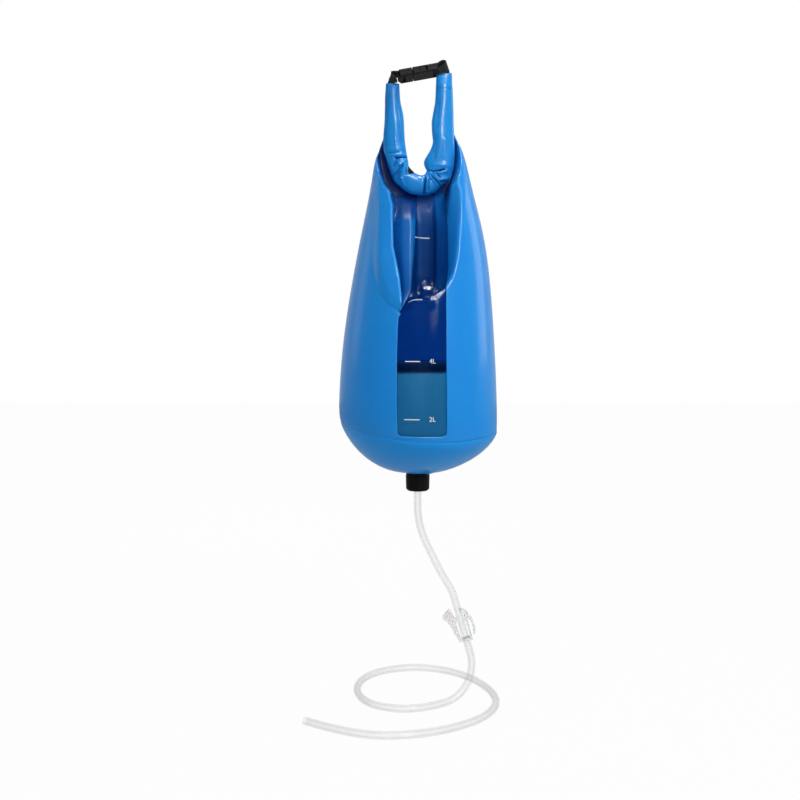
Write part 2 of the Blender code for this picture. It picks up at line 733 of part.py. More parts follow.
def mouth_roll():
    """The rolled mouth in its two pieces."""
    split = split_index()
    roll_piece("mouth_roll", split, len(LOOP) - 1, split, -SEAT / 2)
    roll_piece("mouth_roll_left_end", 0, split, split, SEAT / 2)


def ribbon(name, centres, sideways, half_width, thickness, finish):
    """A flat band along a path, with its width along each given direction."""
    ahead = np.gradient(centres, axis=0)
    ahead = ahead / np.linalg.norm(ahead, axis=1)[:, None]
    sideways = sideways - ahead * np.sum(sideways * ahead, axis=1)[:, None]
    sideways = sideways / np.linalg.norm(sideways, axis=1)[:, None]
    face = np.cross(ahead, sideways)
    face = face / np.linalg.norm(face, axis=1)[:, None] * thickness / 2
    edge = sideways * np.asarray(half_width).reshape(-1, 1)
    points = np.stack([centres + edge + face, centres + edge - face,
                       centres - edge - face, centres - edge + face], axis=1)
    rows = len(centres)
    faces = grid_faces(rows, 4, closed=True)
    faces += [(0, 1, 2, 3), tuple((rows - 1) * 4 + i for i in range(4))]
    mesh = mesh_from(name, points, faces)
    return add(name, mesh, finish)


def mouth_stiffener():
    """The strip that the mouth is wound on, inside the roll."""
    sideways, width = loop_frame()
    last = len(LOOP) - 1 - int(END_TAPER / LOOP_STEP)
    picked = np.arange(split_index() + ROLL_STRIDE, last, ROLL_STRIDE)
    half = width[picked] - ROLL_WALL - STIFFENER_GAP
    ribbon("mouth_stiffener", LOOP[picked], sideways[picked], half,
           STIFFENER_THICKNESS, black_plastic())


def buckle_axes():
    """An empty at the hook point, with the buckle's own axes."""
    made = bpy.data.objects.new("buckle_axes", None)
    PARTS.objects.link(made)
    made.rotation_euler = (-BUCKLE_ROLL, -BUCKLE_TILT, 0)
    return made


def hang_on(parent, *pieces):
    for piece in pieces:
        piece.parent = parent


def bar_place(side):
    """A webbing bar's middle along the buckle, for the socket or the plug."""
    if side > 0:
        return SOCKET_RIGHT - BAR_SIZE / 2
    return -SOCKET_LEFT - SEAT - PLUG_LENGTH + BAR_SIZE / 2


def webbing_cuts(made, axes, side, name):
    """Cut the slot inside a webbing bar, and thin the bar itself."""
    half = WEBBING_WIDTH / 2 + RUN
    bar = bar_place(side)
    inner = bar - side * BAR_SIZE / 2
    slot = sorted((inner, inner - side * WEBBING_SLOT))
    middle = BUCKLE_THICKNESS / 2
    beyond = 2 * BUCKLE_THICKNESS
    outside = sorted((inner, inner + side * 2 * BAR_SIZE))
    boxes = [
        (name + "_slot", (slot[0], -half, -beyond), (slot[1], half, beyond)),
        (name + "_over_bar", (outside[0], -half, middle + BAR_SIZE / 2),
         (outside[1], half, beyond)),
        (name + "_under_bar", (outside[0], -half, -beyond),
         (outside[1], half, middle - BAR_SIZE / 2)),
    ]
    for label, low, high in boxes:
        tool = block(label, low, high)
        hang_on(axes, tool)
        combine(made, tool)


def buckle_socket(axes):
    """The socket half: a flat box open at the plug's side, with a window in
    each side for the prongs' heads."""
    half = BUCKLE_WIDTH / 2
    made = block("buckle_socket", (-SOCKET_LEFT, -half, 0),
                 (SOCKET_RIGHT, half, BUCKLE_THICKNESS), black_plastic(), 0.0010)
    hang_on(axes, made)
    inside = half - BUCKLE_WALL
    low, high = BUCKLE_WALL, BUCKLE_THICKNESS - BUCKLE_WALL
    cavity = block("socket_cavity", (-2 * SOCKET_LEFT, -inside, low),
                   (SOCKET_MOUTH_DEPTH - SOCKET_LEFT, inside, high))
    tip = PRONG_REACH - SOCKET_LEFT
    window = block("socket_windows", (tip - PRONG_HEAD - 0.001, -BUCKLE_WIDTH, low),
                   (tip + 0.0006, BUCKLE_WIDTH, high))
    for tool in (cavity, window):
        hang_on(axes, tool)
        combine(made, tool)
    webbing_cuts(made, axes, 1, "socket")


def buckle_plug(axes):
    """The plug half's body, with the tongue that guides it in the middle."""
    half = BUCKLE_WIDTH / 2
    face = -SOCKET_LEFT - SEAT
    made = block("buckle_plug", (face - PLUG_LENGTH, -half, 0),
                 (face, half, BUCKLE_THICKNESS), black_plastic(), 0.0010)
    middle = BUCKLE_THICKNESS / 2
    tongue = block("plug_tongue", (face - 0.002, -TONGUE_WIDTH / 2, middle - TONGUE_WIDTH / 2),
                   (SOCKET_MOUTH_DEPTH - SOCKET_LEFT - 0.004, TONGUE_WIDTH / 2,
                    middle + TONGUE_WIDTH / 2))
    hang_on(axes, made, tongue)
    combine(made, tongue, "UNION")
    webbing_cuts(made, axes, -1, "plug")


def buckle_prong(axes, name, side):
    """A springy arm with its head in the socket's window. It turns about an
    upright axis at its root, where its own empty stands."""
    root = -SOCKET_LEFT
    inside = BUCKLE_WIDTH / 2 - BUCKLE_WALL
    arm_outer = inside - 0.0013
    arm_inner = arm_outer - PRONG_ARM
    hinge = bpy.data.objects.new(name + "_axis", None)
    PARTS.objects.link(hinge)
    hinge.parent = axes
    pivot = (arm_outer + arm_inner) / 2
    hinge.location = (root, side * pivot, BUCKLE_THICKNESS / 2)
    tip = PRONG_REACH
    outline = [
        (0.0, arm_inner), (tip - 0.0025, arm_inner), (tip, arm_inner + 0.0015),
        (tip, BUCKLE_WIDTH / 2 - HEAD_INSET - 0.0015),
        (tip - 0.0020, BUCKLE_WIDTH / 2 - HEAD_INSET),
        (tip - PRONG_HEAD, BUCKLE_WIDTH / 2 - HEAD_INSET),
        (tip - PRONG_HEAD, arm_outer), (0.0, arm_outer),
    ]
    flat = [(along, across - pivot) for along, across in outline]
    made = plate(name, flat, PRONG_HEIGHT / 2, black_plastic())
    lay = Matrix.Rotation(math.radians(-90), 4, "X")
    if side < 0:
        lay = Matrix.Rotation(math.radians(180), 4, "X") @ lay
    made.data.transform(lay)
    hang_on(hinge, made)


def webbing_tab(axes, name, side, leg_top, leg_across, bow, turned_by):
    """Webbing from a leg's end over its bar of the buckle, and back under it.

    The band twists from lying across the leg to lying along the bar.
    """
    place = axes.rotation_euler.to_matrix()
    bar = np.array(place @ Vector((bar_place(side), 0, BUCKLE_THICKNESS / 2)))
    outward = np.array(place @ Vector((side, 0, 0)))
    upward = np.array(place @ Vector((0, 0, 1)))
    bend = BAR_SIZE * 0.75 + RUN + WEBBING_THICKNESS / 2
    foot = np.array([leg_across * side, 0.0, leg_top + SEAT])
    leg = foot + np.array([0, 0, 2 * WEBBING_THICKNESS])
    top = bar + upward * bend
    crest = leg + np.array([side * TAB_LEAN, 0, (top[2] - leg[2]) * 0.75 + bow])
    route = [leg, crest, top + outward * 0.004 + upward * bow * 0.4, top]
    rise = smooth_line(route, WEBBING_STEP, start=(0, 0, 1), end=-outward)
    turn = np.radians(90 + 20 * np.arange(1, 14))[:, None]
    hook = bar + bend * (outward * np.cos(turn) + upward * np.sin(turn))
    line = np.vstack([[foot], rise, hook])
    share = np.arange(len(line))[:, None] / (len(rise) - 1) / TWIST_SHARE
    across = np.array(place @ Vector((0, 1, 0)))
    lying = np.array([side * math.cos(turned_by), math.sin(turned_by), 0.0])
    sideways = lying * (1 - ease(share)) + across * ease(share)
    ribbon(name, line, sideways, WEBBING_WIDTH / 2, WEBBING_THICKNESS, black_webbing())


def buckle():
    axes = buckle_axes()
    buckle_socket(axes)
    buckle_plug(axes)
    buckle_prong(axes, "buckle_prong_front", -1)
    buckle_prong(axes, "buckle_prong_back", 1)
    webbing_tab(axes, "webbing_tab_right", 1, RIGHT_LEG_TOP, LEG_RIGHT, RIGHT_TAB_BOW,
                RIGHT_TAB_TURN)
    webbing_tab(axes, "webbing_tab_left", -1, LEFT_LEG_TOP, LEG_LEFT, LEFT_TAB_BOW,
                LEFT_TAB_TURN)


def outlet():
    """The flanged outlet through the bag's bottom, and what is on it."""
    sheet_top = BOTTOM_Z + BAG_WALL / 2
    sheet_under = BOTTOM_Z - SEAT - BAG_WALL / 2
    gasket_bottom = sheet_top + SEAT
    gasket_top = gasket_bottom + GASKET_THICKNESS
    ring("outlet_gasket", GASKET_RADIUS, NECK_RADIUS + RUN, gasket_top, gasket_bottom,
         black_rubber())
    flange_bottom = gasket_top + SEAT
    flange_top = flange_bottom + FLANGE_THICKNESS
    spigot_top = flange_top + SPIGOT_HEIGHT
    neck_end = flange_bottom - NECK_LENGTH
    turned("outlet_flange", [
        (SPIGOT_RADIUS, spigot_top), (SPIGOT_RADIUS, flange_top),
        (FLANGE_RADIUS, flange_top), (FLANGE_RADIUS, flange_bottom),
        (NECK_RADIUS, flange_bottom), (NECK_RADIUS, neck_end),
        (NECK_BORE, neck_end), (NECK_BORE, spigot_top),
    ], black_plastic())
    nut_top = sheet_under - SEAT
    nut_bottom = nut_top - LOCK_NUT_HEIGHT
    ring("lock_nut", LOCK_NUT_RADIUS, NECK_RADIUS + RUN, nut_top, nut_bottom,
         black_plastic())
    washer_top = neck_end - SEAT
    washer_bottom = washer_top - WASHER_THICKNESS
    ring("outlet_washer", NECK_RADIUS - RUN, NECK_BORE + RUN, washer_top, washer_bottom,
         black_rubber(), 24)
    tail_top = washer_bottom - SEAT
    tail_bottom = tail_top - TAIL_THICKNESS
    pipe_top = tail_top + TAIL_PIPE
    turned("hose_tail", [
        (NECK_BORE - RUN, pipe_top), (NECK_BORE - RUN, tail_top),
        (NECK_RADIUS - RUN, tail_top), (NECK_RADIUS - RUN, tail_bottom),
        (HOSE_RADIUS - 0.0017, tail_bottom), (HOSE_RADIUS - 0.0017, pipe_top),
    ], black_plastic(), 24)
    union_top = nut_bottom - SEAT
    union_bottom = union_top - UNION_NUT_HEIGHT
    floor = tail_bottom - SEAT
    hole = HOSE_RADIUS + RUN
    turned("union_nut", [
        (UNION_NUT_RADIUS, union_top), (UNION_NUT_RADIUS - 0.0004, union_bottom + 0.0022),
        (UNION_NUT_RADIUS - 0.0022, union_bottom), (hole, union_bottom), (hole, floor),
        (NECK_RADIUS + RUN, floor), (NECK_RADIUS + RUN, union_top),
    ], black_plastic())
    return flange_top, tail_bottom - SEAT


def cartridge(flange_top):
    """The filter cartridge, screwed down on the outlet's spigot."""
    seal_bottom = flange_top + SEAT
    seal_top = seal_bottom + SEAL_THICKNESS
    bore = SPIGOT_RADIUS + RUN
    socket = bore + SOCKET_WALL
    ring("cartridge_seal", socket, bore, seal_top, seal_bottom, black_rubber(), 24)
    base_bottom = seal_top + SEAT
    base_floor = base_bottom + CAP_FLOOR
    skirt_top = base_floor + CAP_SKIRT
    socket_top = flange_top + SPIGOT_HEIGHT + SEAT
    inner = CARTRIDGE_RADIUS + RUN
    outer = CARTRIDGE_RADIUS + CAP_OVERHANG
    turned("cartridge_base", [
        (outer, skirt_top), (outer, base_bottom), (bore, base_bottom),
        (bore, socket_top), (socket, socket_top), (socket, base_floor),
        (inner, base_floor), (inner, skirt_top),
    ], black_plastic())
    lid_top = -CARTRIDGE_TOP_DEPTH
    lid_under = lid_top - CAP_FLOOR
    ring("cartridge_housing", CARTRIDGE_RADIUS, CARTRIDGE_RADIUS - CARTRIDGE_WALL,
         lid_under - SEAT, base_floor + SEAT, grey_housing())
    lid = turned("cartridge_lid", [
        (0.0, lid_top), (outer, lid_top), (outer, lid_top - CAP_SKIRT),
        (inner, lid_top - CAP_SKIRT), (inner, lid_under), (0.0, lid_under),
    ], black_plastic())
    for i in range(INLET_COUNT):
        turn = 2 * math.pi * i / INLET_COUNT
        x, y = INLET_CIRCLE * math.cos(turn), INLET_CIRCLE * math.sin(turn)
        tool = rod(f"inlet_{i}", INLET_RADIUS, (x, y, lid_under - CAP_FLOOR),
                   (x, y, lid_top + CAP_FLOOR), 10)
        combine(lid, tool)
    inside = CARTRIDGE_RADIUS - CARTRIDGE_WALL - SEAT
    pad_top = lid_under - SEAT
    turned("prefilter_pad", [
        (0.0, pad_top), (inside, pad_top), (inside, pad_top - PAD_THICKNESS),
        (0.0, pad_top - PAD_THICKNESS),
    ], white_fibre(), 24)
    turned("fibre_bundle", [
        (0.0, pad_top - PAD_THICKNESS - SEAT), (inside, pad_top - PAD_THICKNESS - SEAT),
        (inside, socket_top + SEAT), (0.0, socket_top + SEAT),
    ], white_fibre(), 24)


def hose_piece(name, points):
    """A tube along its points, with closed ends."""
    curve = bpy.data.curves.new(name, "CURVE")
    curve.dimensions = "3D"
    curve.bevel_depth = HOSE_RADIUS
    curve.bevel_resolution = 2
    curve.use_fill_caps = True
    line = curve.splines.new("POLY")
    line.points.add(len(points) - 1)
    for point, place in zip(line.points, points):
        point.co = (*place, 1)
    curve.materials.append(clear_hose())
    made = bpy.data.objects.new(name, curve)
    PARTS.objects.link(made)


def hose(top):
    """The hose: hanging from the nut, straight through the clamp, and looped
    on the ground."""
    down = np.array([math.sin(CLAMP_LEAN), 0, -math.cos(CLAMP_LEAN)])
    middle = np.array([CLAMP_MIDDLE[0], 0, CLAMP_MIDDLE[1]])
    run_top = middle - down * CLAMP_RUN
    run_bottom = middle + down * CLAMP_RUN
    step = HOSE_RADIUS * 5
    lead = 2 * HOSE_RADIUS
    route = [(0, 0, top - HOSE_LEAD)]
    route += [(across, 0, up) for across, up in HANG_ROUTE] + [tuple(run_top - down * lead)]
    upper = smooth_line(route, step, start=(0, 0, -1), end=down)
    upper = np.vstack([[(0, 0, top)], upper, [run_top - down * SEAT / 2]])
    hose_piece("hose_upper", upper)
    hose_piece("hose_in_clamp", [run_top + down * SEAT / 2, run_bottom - down * SEAT / 2])
    fall = [tuple(run_bottom + down * lead)] + list(FALL_ROUTE)
    fall += [(across, back, HOSE_FLOOR_Z) for across, back in FLOOR_ROUTE]
    lower = smooth_line(fall, step, start=down)
    lower[:, 2] = np.maximum(lower[:, 2], HOSE_FLOOR_Z)
    lower = np.vstack([[run_bottom + down * SEAT / 2], lower])
    hose_piece("hose_lower", lower)
    whole = np.vstack([upper, lower])
    length = np.linalg.norm(np.diff(whole, axis=0), axis=1).sum()
    print(f"hose length {length:.3f} m")


def clamp_axes():
    """An empty at the clamp's middle, its Z up along the hose."""
    made = bpy.data.objects.new("clamp_axes", None)
    PARTS.objects.link(made)
    made.location = (CLAMP_MIDDLE[0], 0, CLAMP_MIDDLE[1])
    made.rotation_euler = (0, -CLAMP_LEAN, 0)
    return made


def clamp_frame(axes):
    """The clamp's back: a plate at each end round the hose, a spine beside
    it, and the bowed release tongue."""
    bore = HOSE_RADIUS + RUN
    reach = CLAMP_REACH
    spine = bore + 0.0012
    back = spine + CLAMP_SPINE
    anvil = HOSE_RADIUS + SEAT
    outline = [(CLAMP_HOOK, reach + 0.001), (back, reach - 0.001)]
    outline += list(CLAMP_TONGUE)
    outline += [
        (back, 0.0100), (back, -reach), (CLAMP_FOOT, -reach),
        (CLAMP_FOOT, -reach + CLAMP_PLATE), (spine, -reach + CLAMP_PLATE),
        (spine, CLAMP_NOSE - 0.0030), (anvil, CLAMP_NOSE - 0.0010),
        (anvil, CLAMP_NOSE + 0.0010), (spine, CLAMP_NOSE + 0.0030),
        (spine, reach - 0.001 - CLAMP_PLATE), (CLAMP_HOOK, reach + 0.001 - CLAMP_PLATE),
    ]
    made = plate("clamp_frame", outline, CLAMP_HALF_DEPTH, white_plastic())
    hang_on(axes, made)
    tool = rod("clamp_bores", bore, (0, 0, -2 * reach), (0, 0, 2 * reach))
    hang_on(axes, tool)
    combine(made, tool)


def clamp_lever(axes):
    """The thumb lever with its pinching nose. It turns about its rounded
    foot, where its own empty stands."""
    reach = CLAMP_REACH
    foot = (LEVER_FOOT, -reach + CLAMP_PLATE / 2 + 2 * SEAT)
    hinge = bpy.data.objects.new("clamp_lever_axis", None)
    PARTS.objects.link(hinge)
    hinge.parent = axes
    hinge.location = (foot[0], 0, foot[1])
    turn = [math.radians(150 + 24 * i) for i in range(9)]
    outline = [(foot[0] + LEVER_BEAD * math.cos(a), foot[1] + LEVER_BEAD * math.sin(a))
               for a in turn]
    nose = -HOSE_RADIUS - SEAT
    outline += [
        (-0.0068, -0.0110), (-0.0074, CLAMP_NOSE - 0.0050), (nose, CLAMP_NOSE - 0.0010),
        (nose, CLAMP_NOSE + 0.0010), (-0.0076, CLAMP_NOSE + 0.0042),
    ]
    outline += list(LEVER_PAD)
    flat = [(across - foot[0], up - foot[1]) for across, up in outline]
    made = plate("clamp_lever", flat, CLAMP_HALF_DEPTH - 0.0006, white_plastic())
    hang_on(hinge, made)


def main():
    bag_wall()
    window_panel()
    bag_bottom()
    mouth_roll()
    mouth_stiffener()
    buckle()
    flange_top, hose_top = outlet()
    cartridge(flange_top)
    hose(hose_top)
    axes = clamp_axes()
    clamp_frame(axes)
    clamp_lever(axes)


main()
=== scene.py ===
# %% [markdown]
# # A gravity water filter bag
#
# A roll-top bag of blue coated fabric hangs from its own closed buckle. It
# has a clear window with volume marks, a filter cartridge that stands on its
# outlet, and a clear hose with a pinch clamp. Each step below first says
# what a piece is on the real object, then builds it. Lengths are in metres.
# X runs to the right, Y away from the camera and Z up, and the origin is
# the hook point at the top.

import math

import bpy
import numpy as np
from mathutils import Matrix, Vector


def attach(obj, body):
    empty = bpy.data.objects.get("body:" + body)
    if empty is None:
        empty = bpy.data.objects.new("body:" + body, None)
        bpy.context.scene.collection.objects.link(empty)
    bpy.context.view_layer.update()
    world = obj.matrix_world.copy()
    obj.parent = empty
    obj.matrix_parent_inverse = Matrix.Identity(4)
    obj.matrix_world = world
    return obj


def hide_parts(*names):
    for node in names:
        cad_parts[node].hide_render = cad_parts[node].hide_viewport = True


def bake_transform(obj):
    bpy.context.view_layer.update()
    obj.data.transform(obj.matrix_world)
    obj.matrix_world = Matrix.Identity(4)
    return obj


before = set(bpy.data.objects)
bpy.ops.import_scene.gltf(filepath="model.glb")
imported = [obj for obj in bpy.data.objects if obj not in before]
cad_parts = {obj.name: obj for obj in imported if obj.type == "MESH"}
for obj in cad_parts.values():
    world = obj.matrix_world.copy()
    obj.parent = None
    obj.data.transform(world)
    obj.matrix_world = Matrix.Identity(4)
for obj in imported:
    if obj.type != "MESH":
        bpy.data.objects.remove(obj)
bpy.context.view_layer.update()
print("nodes in the frame:", len(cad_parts))

# %% [markdown]
# ## The camera
#
# The photograph looks at the front of the bag from about 1.3 m away and a
# little down, which shows the rings of hose on the ground as flat ovals. A
# camera is placed by a spot, a turn and a lens. The turn about X is 90
# degrees for a level view, less the few degrees that it looks down. Those
# follow from how far the horizon stands over the picture's middle, and the
# lens from the same distance to the picture, so both are worked out here.

# %% Camera
# In pixels: the picture's width, its distance from the eye, and the height
# of the horizon over its middle
PICTURE = 800
FOCAL = 1028
HORIZON = 95
SENSOR_MM = 36
CAMERA_SPOT = (-0.0222, -1.275, -0.2748)
LOOKING_DOWN = math.atan(HORIZON / FOCAL)

camera = bpy.data.cameras.new("camera")
camera.lens = FOCAL * SENSOR_MM / PICTURE
camera.sensor_width = SENSOR_MM
eye = bpy.data.objects.new("camera", camera)
bpy.context.scene.collection.objects.link(eye)
eye.location = CAMERA_SPOT
eye.rotation_euler = (math.pi / 2 - LOOKING_DOWN, 0, 0)
bpy.context.scene.camera = eye
bpy.context.scene.view_settings.view_transform = "Standard"
print(f"camera looks down {math.degrees(LOOKING_DOWN):.2f} degrees through {camera.lens:.2f} mm")

# %% [markdown]
# ## Values that write shader maths
#
# A shader is a graph of nodes, and even a small sum takes several of them.
# Wrapping a node's output in a class that knows +, - and * lets a formula be
# written as Python, and each sign then adds its own Math node.

# %% A socket that knows arithmetic
class Value:
    """One output of a node. Arithmetic on it adds a Math node."""

    def __init__(self, tree, socket):
        self.tree = tree
        self.socket = socket

    def math(self, operation, *others):
        """A Math node fed with this value first, then the others."""
        inputs = dict(enumerate((self, *others)))
        return add_node(self.tree, "ShaderNodeMath", {"operation": operation}, inputs)

    def __add__(self, other):
        return self.math("ADD", other)

    def __radd__(self, other):
        return self.math("ADD", other)

    def __mul__(self, other):
        return self.math("MULTIPLY", other)

    def __rmul__(self, other):
        return self.math("MULTIPLY", other)

    def __sub__(self, other):
        return self.math("SUBTRACT", other)

    def __rsub__(self, other):
        minus = self.math("MULTIPLY", -1.0)
        return minus.math("ADD", other)

    def between(self, low, high):
        """This value, held between two numbers."""
        return self.math("MAXIMUM", low).math("MINIMUM", high)


def add_node(tree, kind, settings=None, inputs=None, output=0):
    """Add a node, set it up, then give its sockets their values or links."""
    node = tree.nodes.new(kind)
    for name, setting in (settings or {}).items():
        setattr(node, name, setting)
    for name, value in (inputs or {}).items():
        if isinstance(value, Value):
            tree.links.new(value.socket, node.inputs[name])
        elif isinstance(value, tuple) and len(value) == 3 and node.inputs[name].type == "RGBA":
            node.inputs[name].default_value = (*value, 1.0)
        else:
            node.inputs[name].default_value = value
    return Value(tree, node.outputs[output])


# %% [markdown]
# ## Materials
#
# Every finish here is a Principled shader. A number that is the same all
# over, such as how sharply its coat mirrors, is set on the shader itself.
# What changes over the surface, such as a fine weave or a slight change of
# tone, comes from textures. Those read the piece's own coordinates, or its
# UV map where a pattern has to follow the cloth, so that a pattern stays in
# place when a piece moves.

# %% A material and its shader
def new_finish(name, **constants):
    """A material with one Principled shader, its constant sockets set."""
    finish = bpy.data.materials.new(name)
    finish.use_nodes = True
    shader = finish.node_tree.nodes["Principled BSDF"]
    for socket, value in constants.items():
        label = socket.replace("_", " ")
        if shader.inputs[label].type == "RGBA":
            value = (*value, 1.0)
        shader.inputs[label].default_value = value
    return finish, finish.node_tree, shader


def feed(tree, shader, **links):
    """Link values to the shader's sockets; a name's _ stands for a space."""
    for socket, value in links.items():
        tree.links.new(value.socket, shader.inputs[socket.replace("_", " ")])


# %% [markdown]
# The textures and their places come up in most finishes, so each gets a
# short name of its own.

# %% Places and textures
def object_place(tree):
    """Metres from the origin, on each axis."""
    return add_node(tree, "ShaderNodeTexCoord", output="Object")


def cloth_place(tree):
    """Metres across and along the cloth, from the piece's own UV map."""
    return add_node(tree, "ShaderNodeUVMap", {"uv_map": "cloth"})


def one_axis(tree, place, axis):
    """One coordinate of a place: 0 for X, 1 for Y and 2 for Z."""
    return add_node(tree, "ShaderNodeSeparateXYZ", {}, {"Vector": place}, output=axis)


def own_shade(tree):
    """The number from 0 to 1 that a mesh carries at its points, 0 without."""
    return add_node(tree, "ShaderNodeAttribute", {"attribute_name": "shade"}, output="Fac")


def noise(tree, place, scale, detail=3.0):
    """A cloudy number from 0 to 1, with about scale clouds to the metre."""
    return add_node(tree, "ShaderNodeTexNoise", {}, {
        "Vector": place, "Scale": scale, "Detail": detail, "Roughness": 0.55})


def ribs(tree, place, axis, scale, wobble=0.0):
    """Waves from 0 to 1 along an axis, one every 0.314 / scale metres."""
    return add_node(tree, "ShaderNodeTexWave", {"wave_type": "BANDS", "bands_direction": axis},
                    {"Vector": place, "Scale": scale, "Distortion": wobble}, output=1)


def tone(tree, amount, dark, light):
    """A colour between two, by an amount from 0 to 1."""
    return add_node(tree, "ShaderNodeMix", {"data_type": "RGBA"},
                    {"Factor": amount, 6: dark, 7: light}, output=2)


def bump(tree, height, distance, strength=1.0):
    """The surface's direction, tilted as a relief of this height would be."""
    return add_node(tree, "ShaderNodeBump", {}, {
        "Height": height, "Distance": distance, "Strength": strength})


# %% [markdown]
# ### Blue coated fabric
#
# The bag is polyester cloth with a smooth vinyl coat. The coat is glossy,
# slightly uneven where the threads press through, and a touch deeper in
# tone here and there. A picture of cloth could be wrapped round it, but
# waves need no picture and stay sharp close up. The cloth runs with the
# surface, so the threads are two waves along the UV map, 0.9 mm apart. Deep
# in a fold hardly any light arrives, and the mesh says where that is: there
# the tone goes to a dark blue, and the coat stops shining.

# %% Coated fabric
THREADS = 350.0
IN_THE_FOLDS = (0.001, 0.020, 0.16)


def coated_fabric(name, colour, deep, coat):
    """Tone: clouds between deep and colour, then to the folds' dark blue by
    the mesh's shade s. Coat: (1 - s) squared of its full weight. Relief:
    both waves of threads and a fine ripple."""
    finish, tree, shader = new_finish(
        name, Coat_Roughness=0.09, Specular_IOR_Level=0.20,
        Subsurface_Weight=0.5, Subsurface_Scale=0.003, Subsurface_Radius=(0.3, 0.8, 1.0))
    place = cloth_place(tree)
    cloud = noise(tree, place, 14.0)
    shaded = own_shade(tree)
    lit = 1.0 - shaded.between(0.0, 1.0)
    threads = ribs(tree, place, "X", THREADS, 0.4) + ribs(tree, place, "Y", THREADS, 0.4)
    relief = threads * 0.02 + noise(tree, place, 45.0, 2.0) * 0.5
    feed(tree, shader,
         Base_Color=tone(tree, shaded, tone(tree, cloud, deep, colour), IN_THE_FOLDS),
         Coat_Weight=lit * lit * coat, Roughness=cloud * 0.08 + 0.30,
         Normal=bump(tree, relief, 0.0004, 0.35))
    return finish


blue_coat = coated_fabric("coated_fabric", (0.007, 0.275, 0.78), (0.006, 0.245, 0.73), 0.28)
# The bottom is the same cloth painted lighter, for the light that the white ground throws up onto it, and
# with less coat
bottom_coat_painted_lighter = coated_fabric("bottom_fabric_painted_lighter", (0.008, 0.320, 0.90), (0.007, 0.290, 0.84), 0.08)
print("fabric finishes:", blue_coat.name, "and", bottom_coat_painted_lighter.name)

# %% [markdown]
# ### Moulded, rubber and felt finishes
#
# The buckle, the nuts, the flange and the cartridge's lid are moulded in
# black with a fine satin grain. Rubber is duller, and the fibres and the
# prefilter are pale and rough. One recipe makes all of them, because they
# differ only in colour, in roughness and in how coarse their grain is.

# %% Moulded finishes
def moulded(name, colour, roughness, grain=900.0, depth=0.00006):
    """Slow clouds go from the colour to one half as light again, and a fine
    speck moves the roughness by 0.07 either way and raises the grain."""
    finish, tree, shader = new_finish(name, Specular_IOR_Level=0.12)
    place = object_place(tree)
    speck = noise(tree, place, grain, 2.0)
    light = tuple(min(1.0, part * 1.5 + 0.002) for part in colour)
    feed(tree, shader, Base_Color=tone(tree, noise(tree, place, 60.0), colour, light),
         Roughness=speck * 0.15 + (roughness - 0.07), Normal=bump(tree, speck, depth))
    return finish


black_mould = moulded("black_mould", (0.003, 0.003, 0.004), 0.42)
black_rubber = moulded("black_rubber", (0.014, 0.014, 0.014), 0.75)
fibre_felt = moulded("fibre_felt", (0.62, 0.62, 0.58), 0.90, grain=500.0, depth=0.0004)
print("moulded finishes:", black_mould.name, black_rubber.name, fibre_felt.name)

# %% [markdown]
# ### Webbing
#
# The two tabs are woven black bands. Their ribs run across and along, so
# two waves together give both the relief and the tone: a thread's crest
# catches more light than the gap beside it.

# %% Webbing
def webbing_weave():
    """Ribs 1.2 mm apart across and 0.75 mm apart along, added 6 to 4."""
    finish, tree, shader = new_finish("webbing_weave", Sheen_Weight=0.10, Sheen_Roughness=0.5,
                                      Specular_IOR_Level=0.15)
    place = object_place(tree)
    weave = ribs(tree, place, "X", 260.0) * 0.6 + ribs(tree, place, "Y", 420.0) * 0.4
    feed(tree, shader,
         Base_Color=tone(tree, weave, (0.004, 0.004, 0.005), (0.020, 0.020, 0.023)),
         Roughness=weave * 0.15 + 0.72, Normal=bump(tree, weave, 0.0004))
    return finish


black_webbing = webbing_weave()
print("webbing finish:", black_webbing.name)

# %% [markdown]
# ### The cartridge's housing
#
# Behind the film the housing shows as a pale blue-green field, lighter
# towards its top on the right, where light comes in past the lid. Its own
# tone carries that, because little lamplight reaches it through the film.

# %% Housing
HOUSING_MIDDLE = -0.385


def pale_housing():
    """The tone goes from deep to pale with 18 x + 9 (z - middle) + 0.34."""
    finish, tree, shader = new_finish("housing_mould", Specular_IOR_Level=0.30)
    place = object_place(tree)
    across, height = one_axis(tree, place, 0), one_axis(tree, place, 2)
    pale = (across * 18.0 + (height - HOUSING_MIDDLE) * 9.0 + 0.34).between(0.0, 1.0)
    speck = noise(tree, place, 900.0, 2.0)
    feed(tree, shader, Base_Color=tone(tree, pale, (0.030, 0.29, 0.60), (0.22, 0.76, 0.95)),
         Roughness=speck * 0.15 + 0.28, Normal=bump(tree, speck, 0.00006))
    return finish


housing_mould = pale_housing()
print("housing finish:", housing_mould.name)

# %% [markdown]
# ### Clear film
#
# The window is clear vinyl film, a little blue and glossy. Glass that bends
# light would be one way, but a sheet this thin hardly bends it, so the film
# lets light straight through by its Alpha: the lower, the clearer. It is
# misted low down, in front of the housing, and clearest in front of the
# lid. On the pocket's right side it has painted light: a lighter tint, and
# less clear. It is bright where it bends over the pocket's lip.

# %% Clear film
# The mist's top, then the lid's and the lip's heights and how sharply the
# film changes about each
MIST_TOP = -0.3540
LID_MIDDLE, LID_BAND = -0.3480, 130.0
LIP_MIDDLE, LIP_BAND = -0.2560, 55.0


def band(height, middle, sharpness):
    """1 at a height, and evenly down to 0 at 1 / sharpness over and under."""
    return 1.0 - ((height - middle) * sharpness).math("ABSOLUTE").between(0.0, 1.0)


